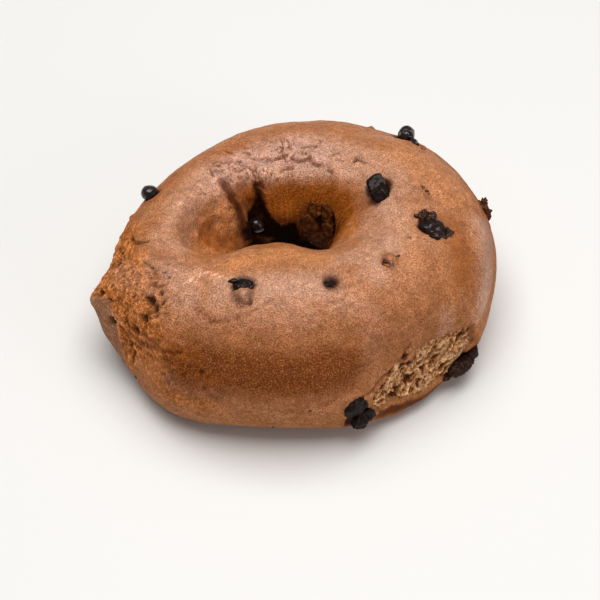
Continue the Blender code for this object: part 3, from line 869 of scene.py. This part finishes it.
crumb = {
    "bearings": (287.0, 336.0, 300),
    "lifts": (-62.0, 42.0, 230),
    "sink": 0.9 * mm,
    "bend": (0.5 * mm, 1.5 * mm, 120),      # how far the webs sway, over what size, seed
    # webs between the pores: size, height, share of the tone (lighter on the webs, painted shade between
    # them), seed
    "webs": [(1.9 * mm, 0.42 * mm, 0.8, 101), (0.85 * mm, 0.26 * mm, 0.6, 107)],
    "grit": (0.45 * mm, 0.20 * mm, 0.3, 111),
    "strands": (0.66, 0.40, 0.64),      # the way the webs run, up to the right over the torn side
    "lean": 0.45,                # how much they are drawn out that way
    # how far the sheet dives under the crust round it, and the way outside the outline that takes
    "hem": (2.2 * mm, -1.3 * mm, -0.3 * mm),
    "rim": (-0.4 * mm, 0.6 * mm),       # the way inside the outline that the browner rim takes
    "brownRight": (326.0, 334.0),       # bearings between which the crumb turns to crust
    "brownRagged": (4.0, 2 * mm, 137),
    "poreRagged": (0.4, 1.0 * mm, 133),
    # larger pores that show: pixel, width in mm, depth in mm
    "pores": [
        ((394, 396), 1.5, 1.6), ((399, 391), 1.1, 1.2), ((413, 363), 0.9, 1.2), ((451, 337), 0.6, 0.8),
        ((443, 351), 0.8, 1.2), ((444, 359), 0.7, 1.0), ((405, 377), 0.9, 1.0), ((412, 379), 0.7, 1.0),
        ((405, 357), 0.9, 1.0), ((424, 370), 0.6, 0.8), ((432, 356), 0.6, 0.8), ((385, 402), 0.8, 0.9),
        ((420, 388), 0.7, 0.8), ((436, 372), 0.6, 0.7)],
}


def makeCrumb():
    bearings, lifts = (np.linspace(*crumb[key]) for key in ("bearings", "lifts"))
    points = surfaceAt(bearings[:, None], lifts[None, :])
    normals = outward(points, wrap=False).reshape(-1, 3)
    flat = points.reshape(-1, 3)
    torn = insideOutline(flat, "torn", ragged=False)
    shift, size, seed = crumb["bend"]
    bent = flat + shift * np.stack([noiseAt(flat, size, seed + k) for k in range(3)], axis=-1)
    strands = np.array(crumb["strands"])
    bent = bent - crumb["lean"] * (bent @ strands)[:, None] * strands
    rise, toneAndShade, cavityShade = (np.zeros(len(flat)) for _ in range(3))
    for size, height, share, seed in crumb["webs"]:
        web = webbed(bent, size, seed)
        rise += height * (web - 0.4)
        toneAndShade += share * (web - 0.45)
    size, height, share, seed = crumb["grit"]
    grit = layered(flat, size, seed, 2)
    rise += height * grit - crumb["sink"]
    toneAndShade += share * grit
    amount, size, seed = crumb["poreRagged"]
    ragged = amount * noiseAt(flat, size, seed)
    # the larger pores sink and are painted dark: painted shade
    for pixel, width, depth in crumb["pores"]:
        hollow = spotOver(flat, pixel, width * mm, ragged, 0.4, 1.0)
        rise -= depth * mm * hollow
        cavityShade += hollow
    depth, low, high = crumb["hem"]
    rise -= depth * (1.0 - eased(low, high, torn))
    moved = flat + normals * rise[:, None]
    moved[:, 2] = np.maximum(moved[:, 2], 0.3 * mm)
    amount, size, seed = crumb["brownRagged"]
    right = eased(*crumb["brownRight"], polarOf(flat)[0] + amount * layered(flat, size, seed, 2))
    masks = {"cavityShade": np.clip(cavityShade, 0.0, 1.0), "toneAndShade": np.clip(0.5 + 0.5 * toneAndShade, 0.0, 1.0),
             "rim": np.maximum(1.0 - eased(*crumb["rim"], torn), right)}
    return gridMesh("torn_crumb", moved.reshape(points.shape), masks, wrap=False)


# How each chip is worn: its flat facets (the share of its size where they cut), how lumpy, brown from
# dough and matt it is, and more lobes by pixel: sizes in mm along the crust, turn, how square, how
# far raised in mm, brown
chipBase = {"flats": [], "facets": 3, "cut": 0.74, "lumps": 0.06, "furrows": 0.0, "brown": 0.0, "matt": 0.3,
            "grow": 1.07, "lobes": []}
lobeBase = {"size": (3.0, 3.0, 2.4), "turn": 0, "square": 2.0, "up": 0.0, "brown": 0.0, "lumps": 0.22,
            "facets": 0, "flats": []}
chipLooks = {
    "chip_back_right": {"facets": 0, "lumps": 0.02, "grow": 0.70, "matt": 0.0, "lobes": [
        {"at": (406, 136), "size": (4.3, 5.6, 5.2), "up": 0.9, "lumps": 0.05},
        {"at": (415, 143), "size": (5.0, 2.0, 1.6), "turn": -35},
        {"at": (422, 147), "size": (3.4, 1.2, 1.0), "turn": -40, "brown": 0.9}]},
    "chip_top_right": {"facets": 5, "cut": 0.60, "matt": 0.8, "grow": 0.68, "lobes": [
        {"at": (378, 186), "size": (4.5, 4.5, 4.2), "square": 9.0, "up": 0.5, "lumps": 0.10,
         "flats": [((-0.14, -0.46, 0.88), 0.58)]},
        {"at": (382, 195), "size": (4.4, 4.8, 3.4), "turn": 20, "square": 5.0, "up": 0.3, "lumps": 0.09,
         "facets": 3}]},
    "chip_right_crown": {"facets": 2, "matt": 0.55, "lobes": [
        {"at": (423, 216), "size": (4.2, 3.0, 2.4), "turn": 150, "brown": 0.24, "up": 0.1, "lumps": 0.4},
        {"at": (431, 219), "size": (3.6, 3.0, 2.2), "turn": 20, "brown": 0.22, "up": 0.1, "lumps": 0.4},
        {"at": (436, 231), "size": (5.0, 6.2, 2.8), "turn": 80, "brown": 0.1, "up": 0.2, "lumps": 0.2},
        {"at": (446, 234), "size": (2.8, 4.0, 2.0), "turn": 60, "brown": 0.20, "lumps": 0.4}]},
    "chip_right_side": {"facets": 5, "cut": 0.68, "lumps": 0.22, "brown": 0.40, "matt": 0.9, "lobes": [
        {"at": (481, 204), "size": (2.4, 2.2, 2.6), "up": 0.7, "brown": 0.35, "lumps": 0.5},
        {"at": (485, 213), "size": (2.6, 4.6, 2.4), "up": 0.4, "brown": 0.35, "lumps": 0.5}]},
    "chip_left_side": {"facets": 1, "lumps": 0.04, "matt": 0.0},
    "chip_front_left": {"facets": 2, "lumps": 0.12, "furrows": 0.2, "matt": 0.7, "grow": 0.94, "lobes": [
        {"at": (233, 281), "size": (2.6, 1.5, 1.2), "turn": 35, "lumps": 0.05}]},
    "chip_front_middle": {"facets": 4, "lumps": 0.30, "grow": 0.88, "matt": 0.7},
    "chip_front_right": {"facets": 2, "lumps": 0.40, "brown": 0.95, "grow": 0.84, "matt": 1.0},
    "chip_foot_front": {"facets": 4, "cut": 0.72, "lumps": 0.16, "matt": 0.85, "grow": 0.78, "lobes": [
        {"at": (356, 408), "size": (6.4, 5.4, 2.6), "turn": 20, "square": 2.6, "lumps": 0.16, "facets": 3},
        {"at": (367, 414), "size": (4.0, 5.0, 2.2), "turn": 10, "square": 2.6, "lumps": 0.16, "facets": 3}]},
    "chip_foot_right": {"facets": 4, "cut": 0.66, "lumps": 0.18, "furrows": 0.15, "brown": 0.15,
                        "grow": 0.84, "matt": 0.85, "lobes": [
        {"at": (452, 381), "size": (5.0, 1.8, 1.6), "turn": -30, "brown": 0.2, "lumps": 0.15},
        {"at": (474, 358), "size": (7.0, 4.4, 3.6), "turn": 60, "up": 0.5, "brown": 0.15, "lumps": 0.16,
         "facets": 3}]},
    "chip_hole_right": {"facets": 5, "cut": 0.6, "lumps": 0.20, "brown": 0.5, "grow": 0.54, "matt": 1.0,
                        "lobes": [
        {"at": (309, 224), "size": (4.6, 6.0, 1.2), "turn": 20, "brown": 0.60, "lumps": 0.18, "square": 4},
        {"at": (315, 210), "size": (4.0, 3.2, 0.9), "turn": 70, "brown": 0.66, "lumps": 0.18, "square": 4},
        {"at": (327, 213), "size": (3.4, 5.4, 0.9), "turn": 10, "brown": 0.60, "lumps": 0.18, "square": 4},
        {"at": (328, 230), "size": (3.6, 5.0, 1.0), "turn": -10, "brown": 0.66, "lumps": 0.18, "square": 4},
        {"at": (317, 238), "size": (6.0, 5.0, 1.3), "turn": 30, "brown": 0.72, "lumps": 0.18, "square": 4}]},
    "chip_hole_low": {"facets": 2, "lumps": 0.20, "brown": 0.2},
    "chip_hole_left": {"facets": 0, "lumps": 0.04, "matt": 0.0},
}

# Specks of chocolate: pixel, width in millimetres, brown
flecks = [
    ((423, 187), 0.8, 0.6), ((427, 191), 1.1, 0.5), ((429, 194), 0.7, 0.7), ((372, 125), 0.9, 0.1),
    ((136, 377), 0.8, 0.2), ((145, 386), 0.8, 0.2), ((310, 411), 0.8, 0.6), ((273, 427), 0.7, 0.2),
    ((386, 262), 1.2, 0.0), ((399, 256), 0.9, 0.5), ((101, 291), 0.7, 0.3), ((456, 382), 1.3, 0.1),
]


# How a chip's surface is worn: lumps and fine grain with their heights, sizes and seeds
wear = {
    "flatten": 0.92,             # how much of what stands past a flat is cut away
    "lumps": [(2.2 * mm, 1.7 * mm, 0), (1.1 * mm, 0.7 * mm, 9)],
    "furrows": (2.0 * mm, 13),
    "grain": (0.05 * mm, 0.5 * mm, 5),
}


def wornLump(points, normals, middle, look, seed):
    # a melted drop with flat places and bumps
    draw = np.random.default_rng(seed)
    away = points - middle
    for side, cut in look["flats"] + [(draw.normal(size=3), look["cut"]) for _ in range(look["facets"])]:
        side = np.array(side) / np.linalg.norm(side)
        depth = away @ side
        beyond = np.maximum(depth - cut * depth.max(), 0.0)
        away = away - side * (wear["flatten"] * beyond)[:, None]
    rise = sum(look["lumps"] * height * layered(points, size, seed + more, 2)
               for height, size, more in wear["lumps"])
    size, more = wear["furrows"]
    rise -= look["furrows"] * mm * (1.0 - eased(0.0, 0.25, np.abs(noiseAt(points, size, seed + more))))
    height, size, more = wear["grain"]
    rise += height * layered(points, size, seed + more, 2)
    return middle + away * look["grow"] + normals * rise[:, None]


def smoothed(mesh, levels):
    # the mesh subdivided, with its points and normals as arrays
    helper = placed("helper", mesh)
    rounding = helper.modifiers.new("rounding", "SUBSURF")
    rounding.levels = levels
    made = bpy.data.meshes.new_from_object(helper.evaluated_get(bpy.context.evaluated_depsgraph_get()))
    bpy.data.objects.remove(helper)
    points = np.zeros(len(made.vertices) * 3)
    normals = np.zeros(len(made.vertices) * 3)
    made.vertices.foreach_get("co", points)
    made.vertices.foreach_get("normal", normals)
    return made, points.reshape(-1, 3), normals.reshape(-1, 3)


def lobeMesh(lobe):
    # a small drop or block lying on the crust at a pixel
    spot = spotOn(lobe["at"])
    bearing, lift = (float(angle) for angle in polarOf(spot))
    here, up = surfaceAt(bearing, lift), surfaceAt(bearing, lift + 1.0)
    side = surfaceAt(bearing + 1.0, lift) - here
    rise = up - here
    normal = np.cross(side, rise)
    normal /= np.linalg.norm(normal)
    side /= np.linalg.norm(side)
    rise = np.cross(normal, side)
    angle = math.radians(lobe["turn"])
    along = side * math.cos(angle) + rise * math.sin(angle)
    axes = np.stack([along, np.cross(normal, along), normal])
    spot = spot + normal * lobe["up"] * mm
    made = bmesh.new()
    bmesh.ops.create_icosphere(made, subdivisions=3, radius=1.0)
    for vertex in made.verts:
        local = np.array(vertex.co)
        local /= (np.abs(local) ** lobe["square"]).sum() ** (1.0 / lobe["square"])
        vertex.co = spot + local * np.array(lobe["size"]) * 0.5 * mm @ axes
    mesh = bpy.data.meshes.new("lobe")
    made.to_mesh(mesh)
    made.free()
    return mesh, spot


def weldedCopy(node):
    made = bmesh.new()
    made.from_mesh(node.data)
    bmesh.ops.remove_doubles(made, verts=made.verts[:], dist=1e-6)
    mesh = bpy.data.meshes.new("welded")
    made.to_mesh(mesh)
    made.free()
    return mesh


def joinedPiece(name, parts):
    # one object from meshes, each with its points, how brown and how matt it is
    points, faces, browns, matts = [], [], [], []
    for mesh, places, brown, matt in parts:
        start = sum(len(block) for block in points)
        points.append(places)
        browns.append(np.full(len(places), brown))
        matts.append(np.full(len(places), matt))
        faces += [[start + corner for corner in face.vertices] for face in mesh.polygons]
    mesh = bpy.data.meshes.new(name)
    mesh.from_pydata(np.concatenate(points).tolist(), [], faces)
    mesh.shade_smooth()
    setMask(mesh, "brown", np.concatenate(browns))
    setMask(mesh, "matt", np.concatenate(matts))
    return placed(name, mesh)


def makeChip(name, seed):
    look = {**chipBase, **chipLooks.get(name, {})}
    mesh, points, normals = smoothed(weldedCopy(chipNodes[name]), 3)
    parts = [(mesh, wornLump(points, normals, points.mean(axis=0), look, seed), look["brown"], look["matt"])]
    for number, lobe in enumerate(look["lobes"]):
        lobe = {**lobeBase, **lobe}
        worn = {**look, "grow": 1.0, **{key: lobe[key] for key in ("lumps", "facets", "flats")}}
        mesh, spot = lobeMesh(lobe)
        mesh, points, normals = smoothed(mesh, 1)
        matt = max(look["matt"], 0.8 * lobe["brown"])
        parts.append((mesh, wornLump(points, normals, spot, worn, seed + 40 + number), lobe["brown"], matt))
    return joinedPiece(name + "_drop", parts)


def makeFlecks():
    parts = []
    look = {**chipBase, "facets": 0, "lumps": 0.10, "grow": 1.0}
    for number, (pixel, width, brown) in enumerate(flecks):
        size = (width, width * 0.8, width * 0.6)
        mesh, spot = lobeMesh({**lobeBase, "at": pixel, "size": size, "turn": 40 * number})
        mesh, points, normals = smoothed(mesh, 0)
        parts.append((mesh, wornLump(points, normals, spot, look, 200 + number), brown, 0.5))
    return joinedPiece("chocolate_flecks", parts)


def addNode(tree, kind, inputs=None, **settings):
    made = tree.nodes.new(kind)
    for key, value in settings.items():
        setattr(made, key, value)
    for key, value in (inputs or {}).items():
        socket = made.inputs[key]
        if isinstance(value, bpy.types.NodeSocket):
            tree.links.new(value, socket)
        else:
            socket.default_value = value
    return made


def mixed(tree, share, first, second, blend="MIX"):
    # colour from first to second as share goes from 0 to 1
    made = addNode(tree, "ShaderNodeMix", {0: share}, data_type="RGBA", blend_type=blend)
    for index, colour in ((6, first), (7, second)):
        if isinstance(colour, bpy.types.NodeSocket):
            tree.links.new(colour, made.inputs[index])
        else:
            made.inputs[index].default_value = (*colour, 1.0)
    return made.outputs[2]


def sums(tree, operation, *values):
    return addNode(tree, "ShaderNodeMath", dict(enumerate(values)), operation=operation).outputs[0]


def multiplied(tree, colour, value, low, high, first, last):
    # the colour times a factor that goes from first to last as the value goes from low to high
    return mixed(tree, 1.0, colour, ranged(tree, value, low, high, first, last), "MULTIPLY")


def ranged(tree, value, low, high, first=0.0, last=1.0):
    made = addNode(tree, "ShaderNodeMapRange", {"Value": value, "From Min": low, "From Max": high,
                                                "To Min": first, "To Max": last})
    made.interpolation_type = "SMOOTHSTEP"
    return made.outputs["Result"]


def maskOf(tree, name):
    return addNode(tree, "ShaderNodeAttribute", attribute_name=name).outputs["Fac"]


def newGroup(name, inputs, outputs):
    group = bpy.data.node_groups.new(name, "ShaderNodeTree")
    for label, value in inputs.items():
        socket = group.interface.new_socket(label, in_out="INPUT", socket_type="NodeSocketFloat")
        socket.default_value = value
    for label in outputs:
        group.interface.new_socket(label, in_out="OUTPUT", socket_type="NodeSocketFloat")
    return group, group.nodes.new("NodeGroupInput"), group.nodes.new("NodeGroupOutput")


# The grain's noises: scale, detail, roughness
grains = {
    "Grain Scale": (2200.0, 3.0, 0.6),
    "Speck Scale": (1300.0, 1.0, 0.5),
    "Mottle Scale": (160.0, 5.0, 0.62),
}


def grainGroup():
    # fine baked grain: a height for bump, pale specks and slow mottling
    scales = {label: scale for label, (scale, _, _) in grains.items()}
    group, given, shown = newGroup("bakedGrain", scales, ["Height", "Specks", "Mottling"])
    place = addNode(group, "ShaderNodeTexCoord").outputs["Object"]
    noises = []
    for label, (_, detail, roughness) in grains.items():
        inputs = {"Vector": place, "Scale": given.outputs[label], "Detail": detail, "Roughness": roughness}
        noises.append(addNode(group, "ShaderNodeTexNoise", inputs).outputs["Fac"])
    group.links.new(noises[0], shown.inputs["Height"])
    group.links.new(ranged(group, noises[1], 0.53, 0.66), shown.inputs["Specks"])
    group.links.new(ranged(group, noises[2], 0.34, 0.66), shown.inputs["Mottling"])
    return group


def blankMaterial(name, settings):
    # a material with its fixed values set on the shader's own sockets
    made = bpy.data.materials.new(name)
    made.use_nodes = True
    shader = made.node_tree.nodes["Principled BSDF"]
    for label, value in settings.items():
        shader.inputs[label].default_value = value
    return made, made.node_tree, shader


def bumped(tree, shader, height, strength, distance, socket="Normal"):
    bump = addNode(tree, "ShaderNodeBump", {"Height": height, "Strength": strength, "Distance": distance})
    tree.links.new(bump.outputs["Normal"], shader.inputs[socket])


# Some of these colours stand in for light: the hole's black and the pits' dark are painted shade, pale is
# painted sheen and highlight, bloom partly painted sheen, golden partly painted light, and toast, amber and
# stain partly painted shade
crustColours = {
    "tan": (0.545, 0.228, 0.098),
    "caramel": (0.445, 0.172, 0.064),
    "toastAndShade": (0.170, 0.033, 0.001),
    "amberAndShade": (0.320, 0.078, 0.003),
    "goldenAndLit": (0.660, 0.262, 0.090),
    "deep": (0.012, 0.003, 0.000),
    "bloomAndSheen": (0.600, 0.320, 0.235),
    "pale": (0.660, 0.350, 0.215),
    "bruise": (0.340, 0.165, 0.105),
    "skin": (0.370, 0.175, 0.090),
    "rough": (0.690, 0.175, 0.020),
    "fibre": (0.820, 0.320, 0.080),
    "crack": (0.210, 0.045, 0.006),
    "crackle": (0.180, 0.044, 0.012),
    "stainAndShade": (0.060, 0.016, 0.006),
    "pit": (0.060, 0.014, 0.004),
    "speck": (0.700, 0.310, 0.080),
    "crumb": (0.400, 0.180, 0.070),
    "darkGrain": (0.70, 0.54, 0.37),      # these two multiply the colour under them
    "lightGrain": (1.33, 1.43, 1.62),
}
crustSurface = {
    "Roughness": 0.55,
    "Specular IOR Level": 0.06,
    "Coat Roughness": 0.30,
    "Subsurface Weight": 0.06,
    "Subsurface Radius": (1.0, 0.35, 0.15),
    "Subsurface Scale": 0.0015,
}


def grainOf(tree, *scales):
    # the grain at its three scales
    return addNode(tree, "ShaderNodeGroup", dict(zip(grains, scales)), node_tree=grainEffect)


def crustMaterial():
    made, tree, shader = blankMaterial("crust_baked", crustSurface)
    colours = crustColours
    fine = grainOf(tree, 2800.0, 2600.0, 150.0)
    spots = grainOf(tree, 700.0, 900.0, 700.0)
    ragged = grainOf(tree, 1300.0, 1500.0, 950.0)
    mottling = fine.outputs["Mottling"]
    broken = sums(tree, "MULTIPLY_ADD", mottling, 0.6, 0.4)

    def layer(colour, mask, name, amount=1.0, patched=False):
        share = maskOf(tree, mask)
        if patched:
            share = sums(tree, "MULTIPLY", share, broken)
        return mixed(tree, sums(tree, "MULTIPLY", share, amount), colour, colours[name])

    toneAndShade = maskOf(tree, "toneAndShade")
    rough = maskOf(tree, "rough")
    colour = mixed(tree, mottling, colours["caramel"], colours["tan"])
    colour = layer(colour, "rough", "rough", 0.70)
    fibres = mixed(tree, ragged.outputs["Mottling"], colours["crack"], colours["fibre"])
    colour = mixed(tree, sums(tree, "MULTIPLY", rough, 0.62), colour, fibres)
    # the back arch's pink bloom, partly painted sheen
    colour = layer(colour, "back", "bloomAndSheen", 0.90, patched=True)
    # pale: painted sheen and highlight
    colour = layer(colour, "pale", "pale")
    # golden: brighter orange, partly painted light
    colour = layer(colour, "goldenAndLit", "goldenAndLit")
    colour = layer(colour, "bruise", "bruise")
    colour = layer(colour, "skin", "skin", 0.85)
    # raised relief painted paler: painted highlight
    raised = ranged(tree, toneAndShade, 0.52, 0.95, 0.0, 0.60)
    palest = sums(tree, "MULTIPLY", raised, ranged(tree, rough, 0.0, 1.0, 1.0, 0.35))
    colour = mixed(tree, palest, colour, colours["pale"])
    # toast: browned band, and painted shade on the hole's back wall
    colour = layer(colour, "toastAndShade", "toastAndShade", 0.92)
    # amber: painted shade on the hole's walls, with deeper-baked orange laid on elsewhere
    colour = layer(colour, "amberAndShade", "amberAndShade", 0.95)
    spotted = ranged(tree, spots.outputs["Mottling"], 0.0, 1.0, 0.12, 0.0)
    colour = mixed(tree, spotted, colour, colours["toastAndShade"])
    # darker where the relief sinks and lighter where it rises: painted shade and highlight over the crust's
    # own tone
    colour = multiplied(tree, colour, toneAndShade, 0.0, 1.0, 0.35, 1.55)
    speckled = ranged(tree, fine.outputs["Height"], 0.34, 0.66)
    speckled = mixed(tree, speckled, colours["darkGrain"], colours["lightGrain"])
    plain = ranged(tree, maskOf(tree, "amberAndShade"), 0.0, 1.0, 1.0, 0.6)
    colour = mixed(tree, plain, colour, speckled, "MULTIPLY")
    colour = multiplied(tree, colour, spots.outputs["Height"], 0.34, 0.66, 0.93, 1.07)
    often = ranged(tree, maskOf(tree, "toastAndShade"), 0.0, 1.0, 0.20, 0.34)
    colour = mixed(tree, sums(tree, "MULTIPLY", fine.outputs["Specks"], often), colour, colours["speck"])
    colour = layer(colour, "crackle", "crackle", 0.85)
    # stain: chocolate stains, and painted shade under a chip and on the hole's right wall
    colour = layer(colour, "stainAndShade", "stainAndShade")
    # painted shade: the hole black
    colour = layer(colour, "deep", "deep")
    # painted shade: pits, creases and the dips round chips darkened
    colour = layer(colour, "cavityShade", "pit", 0.9)
    colour = layer(colour, "torn", "crumb")
    tree.links.new(colour, shader.inputs["Base Color"])
    matt = ranged(tree, fine.outputs["Height"], 0.3, 0.7, 0.50, 0.70)
    tree.links.new(sums(tree, "MAXIMUM", matt, maskOf(tree, "deep")), shader.inputs["Roughness"])
    tree.links.new(maskOf(tree, "gloss"), shader.inputs["Coat Weight"])
    crags = sums(tree, "MULTIPLY", rough, ragged.outputs["Height"])
    height = sums(tree, "ADD", crags, fine.outputs["Height"])
    bumped(tree, shader, height, 1.0, 0.0006)
    bumped(tree, shader, height, 0.40, 0.0006, "Coat Normal")
    return made


# the crumb's dark colour is painted shade in its pores and hollows
crumbColours = {
    "light": (0.860, 0.520, 0.280),
    "middle": (0.520, 0.235, 0.090),
    "dark": (0.110, 0.028, 0.006),
    "edge": (0.230, 0.070, 0.016),
}
crumbSurface = {
    "Roughness": 0.85,
    "Specular IOR Level": 0.06,
    "Subsurface Weight": 0.10,
    "Subsurface Radius": (1.0, 0.5, 0.25),
    "Subsurface Scale": 0.0010,
}


def crumbMaterial():
    made, tree, shader = blankMaterial("crumb_torn", crumbSurface)
    colours = crumbColours
    fine = grainOf(tree, 2000.0, 1800.0, 420.0)
    toneAndShade = maskOf(tree, "toneAndShade")
    # the crumb darker in its hollows and lighter on its webs: painted shade and highlight
    colour = mixed(tree, ranged(tree, toneAndShade, 0.05, 0.50), colours["dark"], colours["middle"])
    colour = mixed(tree, ranged(tree, toneAndShade, 0.40, 0.80), colour, colours["light"])
    pores = grainOf(tree, 1300.0, 1800.0, 1500.0)
    colour = multiplied(tree, colour, fine.outputs["Mottling"], 0.0, 1.0, 0.80, 1.15)
    colour = multiplied(tree, colour, fine.outputs["Height"], 0.34, 0.66, 0.70, 1.30)
    # random dark spots standing for shade in small pores: painted shade
    poreShade = ranged(tree, pores.outputs["Mottling"], 0.0, 0.40, 0.75, 0.0)
    colour = mixed(tree, poreShade, colour, colours["edge"])
    # painted shade in the pores
    colour = mixed(tree, maskOf(tree, "cavityShade"), colour, colours["dark"])
    colour = mixed(tree, sums(tree, "MULTIPLY", maskOf(tree, "rim"), 0.75), colour, colours["edge"])
    tree.links.new(colour, shader.inputs["Base Color"])
    bumped(tree, shader, fine.outputs["Height"], 1.0, 0.0005)
    return made


chocolateColours = {
    "black": (0.006, 0.003, 0.003),
    "dark": (0.018, 0.008, 0.006),
    "doughy": (0.135, 0.040, 0.009),
    "crusty": (0.330, 0.130, 0.050),
}
chocolateSurface = {"Roughness": 0.6, "Specular IOR Level": 0.05, "Coat Roughness": 0.08}


def chocolateMaterial():
    made, tree, shader = blankMaterial("chocolate_melted", chocolateSurface)
    colours = chocolateColours
    fine = grainOf(tree, 2200.0, 900.0, 500.0)
    patches = grainOf(tree, 900.0, 900.0, 900.0)
    colour = mixed(tree, fine.outputs["Mottling"], colours["black"], colours["dark"])
    brown = maskOf(tree, "brown")
    colour = mixed(tree, ranged(tree, brown, 0.0, 0.7), colour, colours["doughy"])
    colour = mixed(tree, ranged(tree, brown, 0.7, 1.0), colour, colours["crusty"])
    colour = multiplied(tree, colour, patches.outputs["Mottling"], 0.0, 1.0, 0.45, 1.35)
    tree.links.new(colour, shader.inputs["Base Color"])
    wet = sums(tree, "SUBTRACT", 1.0, maskOf(tree, "matt"))
    tree.links.new(wet, shader.inputs["Coat Weight"])
    bumped(tree, shader, fine.outputs["Height"], 0.40, 0.0003)
    return made


stage = {
    "floor": (0.72, 0.715, 0.70),
    "reach": 2.5,
    "drop": 0.05 * mm,           # the floor lies this far under the base
    "world": (1.0, 1.0, 1.0),
    "worldStrength": 0.20,
}
lights = {
    "overhead_softbox": {"bearing": 90, "rise": 87, "away": 0.9, "size": (0.85, 0.85), "power": 11.0,
                         "colour": (1.0, 0.99, 0.98)},
    "side_fill": {"bearing": 325, "rise": 22, "away": 0.9, "size": (0.5, 0.4), "power": 1.6,
                  "colour": (1.0, 0.98, 0.96)},
}


def makeStage():
    surface = {"Roughness": 0.6, "Base Color": (*stage["floor"], 1.0)}
    floorMaterial, _, _ = blankMaterial("pale_floor", surface)
    reach = stage["reach"]
    mesh = bpy.data.meshes.new("floor")
    corners = [(-reach, -reach, 0), (reach, -reach, 0), (reach, reach, 0), (-reach, reach, 0)]
    mesh.from_pydata(corners, [], [(0, 1, 2, 3)])
    mesh.materials.append(floorMaterial)
    floor = placed("floor", mesh)
    floor.location.z = -stage["drop"]
    world = bpy.data.worlds.new("studio")
    world.use_nodes = True
    world.node_tree.nodes["Background"].inputs["Color"].default_value = (*stage["world"], 1.0)
    world.node_tree.nodes["Background"].inputs["Strength"].default_value = stage["worldStrength"]
    bpy.context.scene.world = world
    for name, light in lights.items():
        data = bpy.data.lights.new(name, "AREA")
        data.shape = "RECTANGLE"
        data.size, data.size_y = light["size"]
        data.energy = light["power"]
        data.color = light["colour"]
        turn, rise = math.radians(light["bearing"]), math.radians(light["rise"])
        away = Vector((math.cos(rise) * math.cos(turn), math.cos(rise) * math.sin(turn), math.sin(rise)))
        lamp = placed(name, data)
        lamp.location = away * light["away"]
        lamp.rotation_euler = (-away).to_track_quat("-Z", "Y").to_euler()
    bpy.context.scene.view_settings.view_transform = "Standard"


camera = makeCamera()
makeStage()
chipNodes = {name: node for name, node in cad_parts.items() if name.startswith("chip_")}
coreGrid, reachRead = readForm()
reachGrid, flatGrid = closedForm(coreGrid, reachRead)
reachGrid = swollen(coreGrid, reachGrid)
smooth = placesOf(coreGrid, reachGrid)[::2, ::2]
print("form read", reachGrid.shape)
crustTree = BVHTree.FromPolygons(smooth.reshape(-1, 3).tolist(), gridFaces(*smooth.shape[:2]))

grainEffect = grainGroup()
crustPiece = makeCrust()
crustPiece.data.materials.append(crustMaterial())
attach(crustPiece, "root")
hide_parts("dough_ring")
print("crust made", len(crustPiece.data.polygons))

crumbPiece = makeCrumb()
crumbPiece.data.materials.append(crumbMaterial())
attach(crumbPiece, "root")
print("crumb made", len(crumbPiece.data.polygons))

chocolate = chocolateMaterial()
for number, name in enumerate(sorted(chipNodes)):
    piece = makeChip(name, 10 + number)
    piece.data.materials.append(chocolate)
    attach(piece, "root")
    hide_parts(name)
fleckPiece = makeFlecks()
fleckPiece.data.materials.append(chocolate)
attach(fleckPiece, "root")
print("chips made", len(chipNodes))
